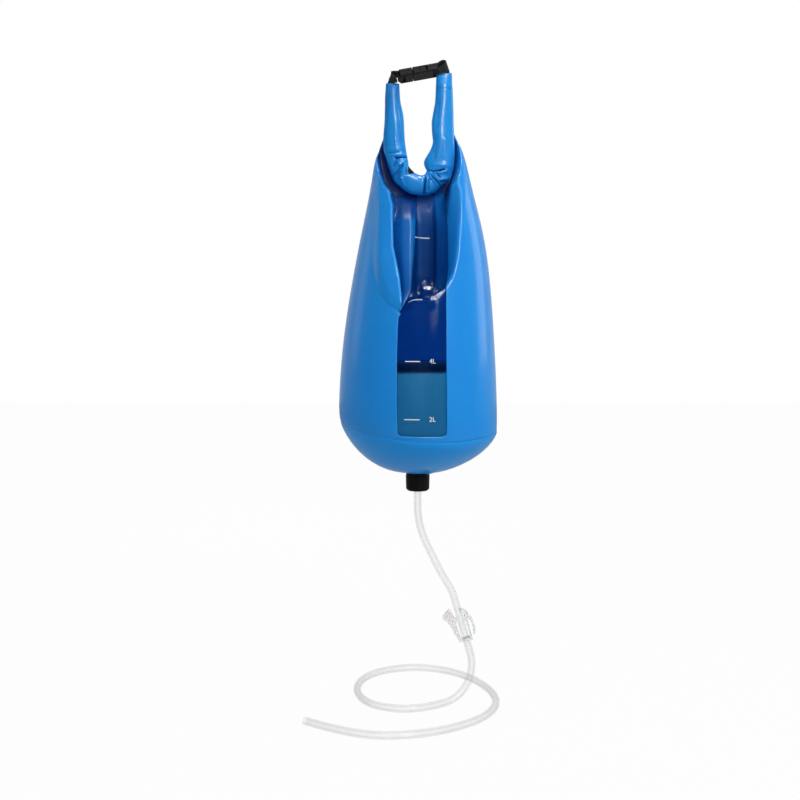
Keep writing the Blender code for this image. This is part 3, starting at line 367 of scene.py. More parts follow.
def clear_film():
    """Alpha: 0.15, with shares added by mist, by painted light on the pocket's
    right side and by the lip, and one taken off in front of the lid. The
    painted light also makes the tint lighter."""
    finish, tree, shader = new_finish("clear_film", Coat_Roughness=0.07, Specular_IOR_Level=0.10)
    ripple = noise(tree, cloth_place(tree), 30.0, 2.0)
    height = one_axis(tree, object_place(tree), 2)
    misted = ((ripple * 0.004 - height + MIST_TOP) * 400.0).between(0.0, 1.0)
    over_lid = band(height, LID_MIDDLE, LID_BAND)
    over_lip = band(height, LIP_MIDDLE, LIP_BAND)
    # Painted light: on the pocket's right side the film is lighter in tint and less clear
    painted_flank_light = own_shade(tree)
    tint = tone(tree, painted_flank_light, (0.001, 0.045, 0.26), (0.008, 0.150, 0.52))
    haze_and_painted_light = misted * 0.24 + painted_flank_light * 0.70 + over_lip * 0.40 - over_lid * 0.13
    feed(tree, shader, Base_Color=tone(tree, misted, tint, (0.018, 0.200, 0.470)),
         Alpha=ripple * 0.06 + haze_and_painted_light + 0.15, Roughness=ripple * 0.06 + 0.08,
         Coat_Weight=over_lip, Normal=bump(tree, ripple, 0.0006, 0.5))
    return finish


film = clear_film()
print("film finish:", film.name)

# %% [markdown]
# ### Clear hose and milky clamp
#
# The hose is clear, soft tube, and its wall shows most at its edges, where
# the eye looks along it. Layer Weight knows how far a face turns away, so
# it makes the edges less clear than the middle. The clamp is moulded in a
# milky plastic that lets some light in.

# %% Hose and clamp finishes
def clear_hose():
    """Alpha rises from 0.04 by 0.34 towards the edges, and with the haze."""
    finish, tree, shader = new_finish("clear_hose", Base_Color=(0.62, 0.63, 0.64), IOR=1.45)
    haze = noise(tree, cloth_place(tree), 60.0, 2.0)
    edge_on = add_node(tree, "ShaderNodeLayerWeight", {}, {"Blend": 0.35}, output="Facing")
    feed(tree, shader, Alpha=edge_on * 0.34 + haze * 0.03 + 0.04, Roughness=haze * 0.05 + 0.12)
    return finish


def milky_plastic():
    """Alpha 0.62 to 0.67 and a satin roughness, both by a fine grain."""
    finish, tree, shader = new_finish("milky_plastic", Base_Color=(0.95, 0.95, 0.97),
                                      Subsurface_Weight=0.3, Subsurface_Scale=0.004)
    grain = noise(tree, object_place(tree), 700.0, 2.0)
    feed(tree, shader, Alpha=grain * 0.05 + 0.62, Roughness=grain * 0.1 + 0.25,
         Normal=bump(tree, grain, 0.00005))
    return finish


hose_vinyl = clear_hose()
clamp_milk = milky_plastic()
print("clear finishes:", hose_vinyl.name, "and", clamp_milk.name)

# %% [markdown]
# ## Putting a surface into a mesh
#
# Each new piece is a grid of points worked out with numpy as one array of
# rows, columns and three coordinates. Neighbouring rows and columns share
# four-cornered faces, so the faces follow from the grid's size alone. A UV
# map in metres lets a weave follow the cloth.

# %% Grid to mesh
def grid_quads(rows, columns, round_rows=False, round_columns=False):
    """Corner numbers of every face: each point with its neighbours along the
    row and in the next row, round again where the surface closes."""
    index = np.arange(rows * columns).reshape(rows, columns)
    if round_rows:
        index = np.vstack([index, index[:1]])
    if round_columns:
        index = np.hstack([index, index[:, :1]])
    corners = [index[:-1, :-1], index[:-1, 1:], index[1:, 1:], index[1:, :-1]]
    return np.stack([part.ravel() for part in corners], axis=1)


def make_piece(name, points, faces, finish, places=None, sharp=50, shade=None):
    """An object from points and faces, with UVs in metres where given, and
    with a number from 0 to 1 at each point for a finish's painted shade, or
    the film's painted light."""
    mesh = bpy.data.meshes.new(name)
    flat = np.asarray(points, float).reshape(-1, 3)
    mesh.from_pydata(flat.tolist(), [], [tuple(face) for face in faces])
    if places is not None:
        layer = mesh.uv_layers.new(name="cloth")
        corner = np.empty(len(mesh.loops), dtype=np.int32)
        mesh.loops.foreach_get("vertex_index", corner)
        layer.data.foreach_set("uv", np.asarray(places, float).reshape(-1, 2)[corner].ravel())
    if shade is not None:
        layer = mesh.attributes.new("shade", "FLOAT", "POINT")
        layer.data.foreach_set("value", np.clip(shade, 0, 1).ravel())
    mesh.materials.append(finish)
    mesh.shade_smooth()
    mesh.set_sharp_from_angle(angle=math.radians(sharp))
    piece = bpy.data.objects.new(name, mesh)
    bpy.context.scene.collection.objects.link(piece)
    return piece


print("a grid of 3 rows and 4 columns has", len(grid_quads(3, 4)), "faces")

# %% [markdown]
# A sheet of cloth or film has two sides and an edge. Solidify gives a grid
# its wall, half of it on each side, which saves working out a second grid.

# %% A wall for a sheet
def thicken(piece, thickness):
    """The sheet with a wall, half of it on each side."""
    wall = piece.modifiers.new("wall", "SOLIDIFY")
    wall.thickness = thickness
    wall.offset = 0.0
    return piece


# %% [markdown]
# ## Two soft curves
#
# Cloth has few hard edges. Nearly all its shape here comes from two curves:
# one that climbs softly from 0 to 1, for where a fold begins, and one that
# rises and falls again, for a bulge or a crease.

# %% Ease and bell
def ease(value):
    """0 below 0, 1 above 1, and 3v^2 - 2v^3 between."""
    value = np.clip(value, 0.0, 1.0)
    return value * value * (3 - 2 * value)


def bell(value):
    """e^(-v^2): 1 at 0 and almost nothing past 2."""
    return np.exp(-value * value)


print(f"ease of a quarter {ease(0.25):.3f}, bell of 1 {bell(1.0):.3f}, bell of 2 {bell(2.0):.3f}")

# %% [markdown]
# ## Smooth lines through points
#
# The hose and the rolled mouth both follow a line through chosen points.
# Blender's own curves could do it, but the same points are needed again for
# the cloth beside the roll. A cubic spline passes through every point with
# no corner. Its speed at each point comes from one small set of equations,
# and its ends can be told which way to point.

# %% Cubic spline
def smooth_line(points, step, start=None, end=None):
    """Points about one step apart on the cubic spline through the given ones.

    On each stretch t runs from 0 to 1, and the place is
    (2t^3 - 3t^2 + 1) a + (t^3 - 2t^2 + t) va + (3t^2 - 2t^3) b + (t^3 - t^2) vb
    for its ends a and b and their speeds va and vb.
    """
    points = np.asarray(points, float)
    runs = np.linalg.norm(np.diff(points, axis=0), axis=1)
    knots = np.concatenate([[0.0], np.cumsum(runs)])
    count = len(points)
    rule = np.zeros((count, count))
    aim = np.zeros_like(points)
    inner = np.arange(1, count - 1)
    before, after = runs[:-1], runs[1:]
    rule[inner, inner - 1] = after
    rule[inner, inner] = 2 * (before + after)
    rule[inner, inner + 1] = before
    rise = np.diff(points, axis=0)
    aim[inner] = 3 * ((after / before)[:, None] * rise[:-1] + (before / after)[:, None] * rise[1:])
    for i, near, heading, run in ((0, 1, start, runs[0]), (count - 1, count - 2, end, -runs[-1])):
        rule[i, i] = 1.0 if heading is not None else 2.0
        rule[i, near] = 0.0 if heading is not None else 1.0
        aim[i] = heading if heading is not None else 3 * (points[near] - points[i]) / run
    speed = np.linalg.solve(rule, aim)
    places = np.linspace(0, knots[-1], max(2, int(round(knots[-1] / step)) + 1))
    at = np.clip(np.searchsorted(knots, places, side="right") - 1, 0, count - 2)
    run = runs[at][:, None]
    t = ((places - knots[at]) / runs[at])[:, None]
    return ((2 * t**3 - 3 * t**2 + 1) * points[at] + (t**3 - 2 * t**2 + t) * run * speed[at]
            + (3 * t**2 - 2 * t**3) * points[at + 1] + (t**3 - t**2) * run * speed[at + 1])


def lengths_along(line):
    """The length of a line up to each of its points."""
    runs = np.linalg.norm(np.diff(line, axis=0), axis=1)
    return np.concatenate([[0.0], np.cumsum(runs)])


def headings(line):
    """The direction ahead at each point: the step from the point before to
    the point after, made one unit long."""
    ahead = np.gradient(line, axis=0)
    return ahead / np.linalg.norm(ahead, axis=1)[:, None]


arch = smooth_line([(0, 0), (1, 1), (2, 0)], 0.1)
print(f"a spline over an arch: {len(arch)} points, {lengths_along(arch)[-1]:.3f} long")

# %% [markdown]
# ## The hose
#
# One length of clear vinyl tube, 9.5 mm across, leaves the union nut
# straight down, swings over to the right, passes through the clamp and lies
# in two open rings on the ground, with its cut end bare. The line is the
# solids' own route, so that the tube runs through the nut and the clamp.

# %% Hose route
HOSE_RADIUS = 0.00475
HOSE_BORE = 0.0031
HOSE_STEP = 0.004
# The union nut's lower face, how far the hose goes up into it, and how far
# it then comes straight down
NUT_FACE = -0.5061
HOSE_TOP = NUT_FACE + 0.0105
DOWN_FROM_NUT = 0.012
FLOOR_Z = -0.7783
HOSE_FLOOR_Z = FLOOR_Z + HOSE_RADIUS
# The clamp's lean from upright, half the run through it, and its middle
CLAMP_LEAN = math.radians(16)
CLAMP_RUN = 0.0290
CLAMP_MIDDLE = np.array([0.0568, 0.0, -0.6800])
DOWN_HOSE = np.array([math.sin(CLAMP_LEAN), 0.0, -math.cos(CLAMP_LEAN)])
HANG_ROUTE = [(0.0004, 0, -0.535), (0.0058, 0, -0.561), (0.0178, 0, -0.588), (0.0325, 0, -0.6165)]
FALL_ROUTE = [
    (0.0690, 0.0, -0.7252), (0.0693, 0.0, -0.7294), (0.0668, -0.0016, -0.7472),
    (0.0590, -0.0063, -0.7610), (0.0471, -0.0132, -0.7703), (0.0330, -0.0213, -0.7735),
]
FLOOR_ROUTE = [
    (0.0100, -0.0345), (-0.0140, -0.0400), (-0.0370, -0.0365), (-0.0570, -0.0250),
    (-0.0720, -0.0020), (-0.0780, 0.0265), (-0.0735, 0.0560), (-0.0600, 0.0800),
    (-0.0370, 0.0970), (-0.0120, 0.1050), (0.0145, 0.1040), (0.0400, 0.0940),
    (0.0660, 0.0730), (0.0850, 0.0450), (0.0965, 0.0140), (0.0990, -0.0150),
    (0.0915, -0.0450), (0.0745, -0.0710), (0.0540, -0.0890), (0.0310, -0.1030),
    (0.0040, -0.1135), (-0.0250, -0.1190), (-0.0560, -0.1180), (-0.0850, -0.1080),
    (-0.1120, -0.0935), (-0.1370, -0.0770),
]


def hose_line():
    """The whole route: down from the nut, straight through the clamp and one
    diameter past it at both ends, and looped on the ground."""
    clamp_in = CLAMP_MIDDLE - DOWN_HOSE * (CLAMP_RUN + 2 * HOSE_RADIUS)
    clamp_out = CLAMP_MIDDLE + DOWN_HOSE * (CLAMP_RUN + 2 * HOSE_RADIUS)
    bend_z = HOSE_TOP - DOWN_FROM_NUT
    upper = smooth_line([(0, 0, bend_z), *HANG_ROUTE, tuple(clamp_in)],
                        HOSE_STEP, start=(0, 0, -1), end=DOWN_HOSE)
    fall = [tuple(clamp_out), *FALL_ROUTE]
    fall += [(across, back, HOSE_FLOOR_Z) for across, back in FLOOR_ROUTE]
    lower = smooth_line(fall, HOSE_STEP, start=DOWN_HOSE)
    lower[:, 2] = np.maximum(lower[:, 2], HOSE_FLOOR_Z)
    straight = np.linspace(clamp_in, clamp_out, 12)[1:-1]
    down = np.linspace((0, 0, HOSE_TOP), (0, 0, bend_z), 4)[:-1]
    return np.vstack([down, upper, straight, lower])


route = hose_line()
print(f"hose {lengths_along(route)[-1]:.3f} m in {len(route)} rings")

# %% [markdown]
# The tube is a ring of points carried along that line, on the outside and
# again on the bore, so its cut end is hollow. A ring needs two directions
# square to the line at every point. Starting from one and turning it as
# little as possible from point to point keeps the tube from twisting.

# %% A tube along a line
def steady_sides(line):
    """Two directions square to the line at each point. The first is the one
    before it, less its share along the line, and the second is square to it."""
    ahead = headings(line)
    sides = np.empty_like(ahead)
    side = np.array([0.0, 1.0, 0.0])
    for i, forward in enumerate(ahead):
        side = side - forward * np.dot(side, forward)
        side = side / np.linalg.norm(side)
        sides[i] = side
    return sides, np.cross(ahead, sides)


def tube(line, outer, inner, ring):
    """Rings of both walls: line + radius (cos a side + sin a other). The
    faces run down the outside, over the end, and back up the bore."""
    side, other = steady_sides(line)
    turn = np.linspace(0, 2 * np.pi, ring, endpoint=False)[None, :, None]
    round_ring = side[:, None] * np.cos(turn) + other[:, None] * np.sin(turn)
    out = line[:, None] + round_ring * outer
    bore = line[::-1][:, None] + round_ring[::-1] * inner
    along = lengths_along(line)
    reach = np.concatenate([along, along[::-1]])
    places = np.stack(np.broadcast_arrays(turn[..., 0] * outer, reach[:, None]), axis=-1)
    quads = grid_quads(2 * len(line), ring, round_rows=True, round_columns=True)
    return np.concatenate([out, bore]), quads[:, ::-1], places


points, quads, places = tube(route, HOSE_RADIUS, HOSE_BORE, 32)
hose = make_piece("hose", points, quads, hose_vinyl, places)
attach(hose, "bag")
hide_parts("hose_upper", "hose_in_clamp", "hose_lower")
print("hose faces:", len(hose.data.polygons))

# %% [markdown]
# ## The room
#
# The photograph has a plain white ground. The world is white where the
# camera looks at it, straight or through clear plastic, and only half as
# strong as a light, so the picture stays clean and the blue stays deep. What
# glossy pieces mirror of it is brighter behind the bag and darker in front,
# which leaves the shine on the wall to the lamps.

# %% World
AMBIENT = 0.50


def ray_is(tree, kind):
    """1 for rays of a kind and 0 for all others."""
    return add_node(tree, "ShaderNodeLightPath", output=f"Is {kind} Ray")


def white_room():
    """Strength: 1 for the camera and what is seen through plastic, else
    0.5 y + 0.2 but at least 0.08 in a mirror, else the ambient light."""
    world = bpy.data.worlds.new("room")
    world.use_nodes = True
    tree = world.node_tree
    tree.nodes.clear()
    clear = ray_is(tree, "Camera").math("MAXIMUM", ray_is(tree, "Transmission"))
    mirrored = ray_is(tree, "Glossy")
    behind = one_axis(tree, add_node(tree, "ShaderNodeTexCoord", output="Generated"), 1)
    glow = (behind * 0.50 + 0.20).math("MAXIMUM", 0.08)
    strength = clear + (1.0 - clear) * (mirrored * glow + (1.0 - mirrored) * AMBIENT)
    white = add_node(tree, "ShaderNodeBackground", {}, {"Color": (1.0, 1.0, 1.0), "Strength": strength})
    out = tree.nodes.new("ShaderNodeOutputWorld")
    tree.links.new(white.socket, out.inputs["Surface"])
    bpy.context.scene.world = world


white_room()
print("world:", bpy.context.scene.world.name)

# %% [markdown]
# The hose lies on the same white. The ground is a wide square that glows
# white to the camera, with a trace of matte grey in it, so that the hose
# leaves the faintest of shadows on it.

# %% Floor
FLOOR_HALF = 4.0


def pale_floor():
    """97 parts of white glow and 3 of matte grey for the camera, and matte
    grey alone as a light."""
    finish = bpy.data.materials.new("pale_floor")
    finish.use_nodes = True
    tree = finish.node_tree
    tree.nodes.clear()
    seen = ray_is(tree, "Camera").math("MAXIMUM", ray_is(tree, "Transmission"))
    matte = add_node(tree, "ShaderNodeBsdfDiffuse", {}, {"Color": (0.50, 0.50, 0.50)})
    white = add_node(tree, "ShaderNodeEmission", {}, {"Color": (1.0, 1.0, 1.0), "Strength": 1.0})
    mixed = add_node(tree, "ShaderNodeMixShader", {}, {0: seen * 0.97, 1: matte, 2: white})
    out = tree.nodes.new("ShaderNodeOutputMaterial")
    tree.links.new(mixed.socket, out.inputs["Surface"])
    return finish


corners = np.array([[-1, -1], [1, -1], [1, 1], [-1, 1]]) * FLOOR_HALF
ground = np.column_stack([corners, np.full(4, FLOOR_Z)])
floor = make_piece("floor", ground, [(0, 1, 2, 3)], pale_floor())
print(f"floor {2 * FLOOR_HALF:.0f} m wide at {FLOOR_Z * 1000:.1f} mm")

# %% [markdown]
# The lamps are large, soft panels that face the bag's middle. On glossy
# cloth a lamp does two things: it lights the colour, and it is mirrored as
# a bright streak. Each panel here does only one of them, so the light on
# the bag and the streaks on it can be set apart. Four panels light it,
# mostly from the right, and four more are seen only as its streaks: one at
# each side, one in front of it on the right, and one above.

# %% Lamps
BAG_MIDDLE = (0.0, 0.0, -0.30)
# Name, spot, size, power in watts, and whether it is mirrored or lights
LAMPS = [
    ("right_panel", (1.15, -0.75, 0.05), (0.9, 1.5), 7, False),
    ("key_panel", (0.60, -0.95, 0.95), (0.30, 0.30), 11, False),
    ("right_strip", (1.30, 0.42, 0.12), (0.50, 0.9), 3.4, True),
    ("left_strip", (-1.30, 0.42, 0.16), (0.50, 0.9), 1.1, True),
    ("front_strip", (0.48, -1.31, 0.55), (0.32, 1.00), 24, True),
    ("top_strip", (0.15, -0.35, 1.15), (0.5, 0.7), 26, True),
    ("left_panel", (-0.85, -1.00, 0.30), (0.6, 0.9), 2.5, False),
    ("back_panel", (-0.3, 1.3, 0.2), (1.4, 1.2), 9, False),
]


def soft_panel(name, spot, size, power, mirrored):
    """A rectangular lamp that faces the bag's middle. It either lights what
    is matte or is mirrored by what is glossy."""
    lamp = bpy.data.lights.new(name, "AREA")
    lamp.shape = "RECTANGLE"
    lamp.size, lamp.size_y = size
    lamp.energy = power
    holder = bpy.data.objects.new(name, lamp)
    bpy.context.scene.collection.objects.link(holder)
    holder.location = spot
    facing = Vector(BAG_MIDDLE) - Vector(spot)
    holder.rotation_euler = facing.to_track_quat("-Z", "Y").to_euler()
    holder.visible_glossy = mirrored
    holder.visible_diffuse = not mirrored


for lamp in LAMPS:
    soft_panel(*lamp)
print("lamps:", len(LAMPS))

# %% [markdown]
# ## The rolled mouth's line
#
# The mouth is wound on a flat stiffener, and the roll is bent up into a
# loop. Its centre line runs down the left leg, through the bend and up the
# right leg. Both the roll and the bag below it are measured from this line,
# so it comes before either.

# %% Loop line
# From the hook point across to each leg, down to the bend, and to the
# heights of the two ends
HOOK_TO_LEG = 0.0315
LOOP_DROP = 0.130
LEFT_TOP = -0.0080
RIGHT_TOP = 0.0020
LOOP_SHAPE = np.array([
    (-1.030, 0.209), (-0.975, 0.392), (-0.937, 0.575), (-0.822, 0.742), (-0.511, 0.889),
    (-0.086, 0.972), (0.300, 1.000), (0.730, 0.954), (0.978, 0.825), (1.016, 0.668),
    (0.975, 0.484), (1.010, 0.255),
])


def loop_line(step):
    """The spline through the loop's points, which are shares of a leg's
    distance across and of the loop's drop."""
    through = np.vstack([[-HOOK_TO_LEG, LEFT_TOP], LOOP_SHAPE * (HOOK_TO_LEG, -LOOP_DROP),
                         [HOOK_TO_LEG, RIGHT_TOP]])
    line = smooth_line(through, step, start=(0, -1), end=(0, 1))
    return np.column_stack([line[:, 0], np.zeros(len(line)), line[:, 1]])


LOOP = loop_line(0.001)
LOOP_REACH = lengths_along(LOOP)
print(f"rolled mouth {LOOP_REACH[-1] * 1000:.0f} mm along its line")

# %% [markdown]
# The cloth below has to know two things about the loop: which point of it a
# column of the wall ends at, and how far away the roll is.

# %% Places on the loop
ROLL_HALF_WIDTH = 0.0128
ROLL_FLATNESS = 0.58
SPARSE_LOOP = LOOP[::6]


def along_loop(share):
    """X and Z of the loop's point at a share, from -1 at the left to 1."""
    place = LOOP_REACH / LOOP_REACH[-1] * 2 - 1
    return np.interp(share, place, LOOP[:, 0]), np.interp(share, place, LOOP[:, 2])


def from_roll(x, z):
    """Distance to the nearest point of the roll's line, from the front."""
    return np.min(np.hypot(x[..., None] - SPARSE_LOOP[:, 0], z[..., None] - SPARSE_LOOP[:, 2]), axis=-1)


print(f"the bend's lowest point stands {-LOOP[:, 2].min() * 1000:.0f} mm under the hook")

# %% [markdown]
# ## The bag's wall
#
# The wall is one sheet, welded into a tube. Full of water it is round at the
# bottom and narrows towards the mouth, where the whole sleeve has to fit
# behind the roll. The cloth that is left over folds in at the front and the
# back as a deep pocket, with a flap of it hanging over the pocket's lip. A
# cloth simulation could find such folds, but not these ones, so the surface
# is a formula of two numbers: the turn round the bag, 0 at the front, and
# the rise up it, 0 at the seam and 1 at the mouth. It is built up below from
# its outline, its seam, its pocket, its flap and its step behind the roll.

# %% Outline of the wall
BAG_RADIUS = 0.098
HANG_HEIGHT = 0.434
SEAM_Z = -HANG_HEIGHT
WALL = 0.0009
# Half the size at the neck, and the power of the height that leads to it
NECK_HALF_WIDTH, WIDTH_POWER = 0.029, 1.92
NECK_HALF_DEPTH, DEPTH_POWER = 0.008, 1.8
# A bulge to the right and a slight waist: amount, height, and half height
SWAY, SWAY_HEIGHT, SWAY_SPAN = 0.0050, -0.19, 0.105
NARROWED, NARROWED_HEIGHT, NARROWED_SPAN = 0.0022, -0.135, 0.05
# The rise from which the columns lean over to their places along the mouth
LEAN_FROM = 0.76


def wall_place(turn, rise):
    """The turn as folded over to the front, the mouth's point over it, and
    the height."""
    folded = np.where(np.cos(turn) >= 0, turn, np.sign(turn) * np.pi - turn)
    mouth_x, mouth_z = along_loop(folded / (np.pi / 2))
    return folded, mouth_x, SEAM_Z + rise * (mouth_z - SEAM_Z)


def half_sizes(height, drawn_in):
    """Half the width and half the depth: the bag's radius, less what the
    neck takes off as a power of the height, less the seam and the waist."""
    level = np.clip((height - SEAM_Z) / HANG_HEIGHT, 0.0, 1.0)
    width = BAG_RADIUS - (BAG_RADIUS - NECK_HALF_WIDTH) * level**WIDTH_POWER - drawn_in
    width = width - NARROWED * bell((height - NARROWED_HEIGHT) / NARROWED_SPAN)
    depth = BAG_RADIUS - (BAG_RADIUS - NECK_HALF_DEPTH) * level**DEPTH_POWER - drawn_in
    return width, depth


print(f"bag {2000 * BAG_RADIUS:.0f} mm across, seam {1000 * HANG_HEIGHT:.0f} mm under the hook")

# %% [markdown]
# The bottom seam isn't quite level, because the bag hangs with a slight
# tilt and its cloth stretches between front and back. Just above it the
# wall rounds in to the seam.

# %% Bottom seam
# Its radius, the height over which the wall rounds in to it, and the share
# of that which a sharper corner on the right leaves out
SEAM_RADIUS = 0.0952
SEAM_ROUND = 0.010
RIGHT_CORNER = 0.85
# How far it rises at the left, how far at both sides, and the height over
# which the wall above forgets it
SEAM_TILT = 0.0065
SEAM_LIFT = 0.0090
SEAM_FADE = 0.05


def seam_lift(turn):
    """The bottom seam stands a little higher at the sides than in front and
    behind, as the sine squared, and more so on the left, as the sine."""
    return SEAM_LIFT * np.sin(turn)**2 - SEAM_TILT * np.sin(turn)


def seam_inset(turn):
    """How far the wall draws in to the seam: less on the right, where the
    corner is sharper."""
    return (BAG_RADIUS - SEAM_RADIUS) * (1 - RIGHT_CORNER * np.clip(np.sin(turn), 0, 1)**2)


seam_heights = SEAM_Z + seam_lift(np.linspace(-np.pi, np.pi, 181))
print(f"bottom seam from {seam_heights.min() * 1000:.1f} to {seam_heights.max() * 1000:.1f} mm")

# %% [markdown]
# ### The pocket's edges
#
# Seen from the front, the pocket has a ridge on each side and, beside the
# left one, the free edge of the flap. Each edge is read off the photograph
# as a few pairs of height and turn, and straight lines join them.

# %% Edges of the pocket
# Height, and turn in degrees
RIDGE_LEFT = np.array([
    (-0.285, -18), (-0.2795, -24), (-0.272, -29), (-0.2575, -36.5), (-0.234, -43.5),
    (-0.2175, -47.5), (-0.1865, -52), (-0.155, -59), (-0.140, -68)])
FOLD_EDGE = np.array([
    (-0.285, -20), (-0.262, -20.5), (-0.243, -22.5), (-0.225, -26), (-0.205, -31), (-0.154, -36)])
RIDGE_RIGHT = np.array([
    (-0.262, 20.5), (-0.243, 26.5), (-0.2175, 32), (-0.185, 38.5), (-0.152, 49.5), (-0.1375, 56)])
# The least turn, in radians, between the left ridge and the free edge
RIDGE_TO_FOLD = 0.01
# Both sides of the pocket's floor
FLOOR_LEFT = math.radians(-10.5)
FLOOR_RIGHT = math.radians(0.6)
FLOOR_MIDDLE = (FLOOR_LEFT + FLOOR_RIGHT) / 2


def edge_turn(edge, height):
    """The turn of one of the pocket's edges at a height."""
    return np.radians(np.interp(height, edge[:, 0], edge[:, 1]))


def fold_turn(height):
    """The turn of the flap's free edge, always to the right of its ridge."""
    return np.maximum(edge_turn(FOLD_EDGE, height), edge_turn(RIDGE_LEFT, height) + RIDGE_TO_FOLD)


MID_POCKET = -0.22
pocket_edges = [edge_turn(RIDGE_LEFT, MID_POCKET), fold_turn(MID_POCKET), edge_turn(RIDGE_RIGHT, MID_POCKET)]
print("pocket's edges half way up, in degrees:", np.round(np.degrees(pocket_edges), 1).tolist())

# %% [markdown]
# ### How deep the pocket is
#
# A profile says how the cloth goes in from each ridge to the floor. On the
# left it stays nearly level under the flap, then drops in one step; on the
# right it slopes evenly. The pocket begins at a lip that hangs lower in
# front of the flap, and behind the bag is a plain pocket with even slopes.

# %% Depth of the pocket
# The lip's depth under the hook, how far over it the pocket begins, and the
# height that it takes to open
LIP_DEPTH = 0.2655
LIP_START = 0.009
LIP_RISE = 0.034
# How much lower the lip is under the flap, the flap's turn, and its half
# width to the left and to the right
FLAP_DROP = 0.019
FLAP_TURN = math.radians(-17)
FLAP_LEFT = math.radians(11.5)
FLAP_RIGHT = math.radians(6)
# The free edge's place on the way from the left ridge to the floor
FOLD_SHARE = 0.60
# The sides of the pocket: share of the way to its floor, share of the depth
FLANK_LEFT = np.array([
    (0.0, 0.0), (0.10, -0.02), (0.20, -0.03), (0.35, -0.02), (0.50, 0.0), (0.59, 0.03),
    (0.63, 0.80), (0.67, 0.80), (0.77, 0.68), (0.88, 0.68), (1.0, 1.0)])
FLANK_RIGHT = np.array([
    (0.0, 0.0), (0.05, 0.015), (0.12, 0.06), (0.20, 0.15), (0.30, 0.28), (0.60, 0.62), (0.90, 0.93),
    (0.96, 1.03), (1.0, 1.0)])


def along_flank(keys, share):
    """A flank's depth at a share of its way, as the mean of five readings
    side by side, which rounds its corners off."""
    return np.mean([np.interp(share + step, keys[:, 0], keys[:, 1])
                    for step in np.linspace(-0.02, 0.02, 5)], axis=0)


def left_share(turn, height):
    """Share of the way from the left ridge to the floor: the fixed share at
    the flap's free edge, and even on both sides of that."""
    left, fold = edge_turn(RIDGE_LEFT, height), fold_turn(height)
    to_fold = FOLD_SHARE * (turn - left) / (fold - left)
    past_fold = FOLD_SHARE + (1 - FOLD_SHARE) * (turn - fold) / (FLOOR_LEFT - fold)
    return np.where(turn < fold, to_fold, past_fold)


def above_lip(turn, height):
    """Height above the lip, which is lower by a bell about the flap's turn."""
    spread = np.where(turn < FLAP_TURN, FLAP_LEFT, FLAP_RIGHT)
    return height + LIP_DEPTH + FLAP_DROP * bell((turn - FLAP_TURN) / spread)


def opened(turn, height):
    """0 up to the lip, and softly up to 1 above it."""
    return ease((above_lip(turn, height) - LIP_START) / LIP_RISE)


def pocket(turn, height, behind=False):
    """How deep the pocket is, 0 outside it and 1 on its floor, and how much
    of the floor's shift to the right applies."""
    share = left_share(turn, height)
    right = edge_turn(RIDGE_RIGHT, height)
    on_left = np.where(behind, along_flank(FLANK_RIGHT, share), along_flank(FLANK_LEFT, share))
    on_right = along_flank(FLANK_RIGHT, (right - turn) / (right - FLOOR_RIGHT))
    is_left = turn < FLOOR_MIDDLE
    drawn = np.where(is_left, ease((share - FOLD_SHARE) / (1 - FOLD_SHARE)), on_right)
    return np.where(is_left, on_left, on_right), drawn


print(f"on the floor the pocket is {float(pocket(FLOOR_MIDDLE, MID_POCKET)[0]):.2f} of its depth")

# %% [markdown]
# ### The flap
#
# The cloth beside the left ridge bulges forward and hangs over the pocket
# to the right, so it hides a part of it. One number moves it across and one
# brings it forward; both are at their most close to the free edge.

# %% Flap
# Height, and how far the free edge hangs over
FOLD_REACH = np.array([
    (-0.285, 0.0075), (-0.255, 0.0070), (-0.225, 0.0060), (-0.19, 0.0050), (-0.15, 0.0035)])
FLAP_PROUD = 0.0035
# In shares of the left side's way: how far before the free edge the flap
# reaches out most, and how wide that is to the left and to the right
MOST_BEFORE, WIDE_LEFT, WIDE_RIGHT = 0.02, 0.30, 0.05
# How far past the free edge the bulge ends, and over how much it fades
PROUD_PAST, PROUD_FADE = 0.06, 0.10
# The turn from the left ridge over which it grows, and as which power
PROUD_TURN, PROUD_POWER = 0.13, 0.8
# Heights over the lip: where the reach begins, and over how much each grows
REACH_FROM, REACH_RISE, PROUD_RISE = -0.006, 0.012, 0.005


def flap(turn, height, behind):
    """How far the flap hangs over to the right: a bell about its free edge.
    And how much of its thickness it stands out: up from the left ridge as a
    power of the turn, and down again past the free edge."""
    share, above = left_share(turn, height), above_lip(turn, height)
    in_front = ~np.asarray(behind)
    beside = share - FOLD_SHARE + MOST_BEFORE
    reach = np.interp(height, FOLD_REACH[:, 0], FOLD_REACH[:, 1])
    reach = reach * bell(beside / np.where(beside < 0, WIDE_LEFT, WIDE_RIGHT))
    reach = reach * ease((above - REACH_FROM) / REACH_RISE)
    proud = np.clip((turn - edge_turn(RIDGE_LEFT, height)) / PROUD_TURN, 0, 1)**PROUD_POWER
    proud = proud * ease(above / PROUD_RISE) * ease((FOLD_SHARE + PROUD_PAST - share) / PROUD_FADE)
    return reach * in_front, proud * (in_front & (turn < FLOOR_MIDDLE))


print(f"the flap hangs over by up to {FOLD_REACH[:, 1].max() * 1000:.1f} mm")

# %% [markdown]
# ### Behind the roll
#
# Near the mouth all the cloth lies flat behind the roll, front layer and
# back layer. Close beside the roll it swings back in a short run. At both
# sides of it the cloth steps back too, along an edge read off the
# photograph, which makes the dark hollow below the roll.

# %% Step behind the roll
# The gap between the two layers, how quickly it opens from the sides, and
# the clearance to the roll
LAYER_GAP = 0.0020
LAYER_POWER = 0.2
ROLL_CLEARANCE = 0.0003
BACK_Y = ROLL_HALF_WIDTH * ROLL_FLATNESS + ROLL_CLEARANCE + WALL + LAYER_GAP / 2
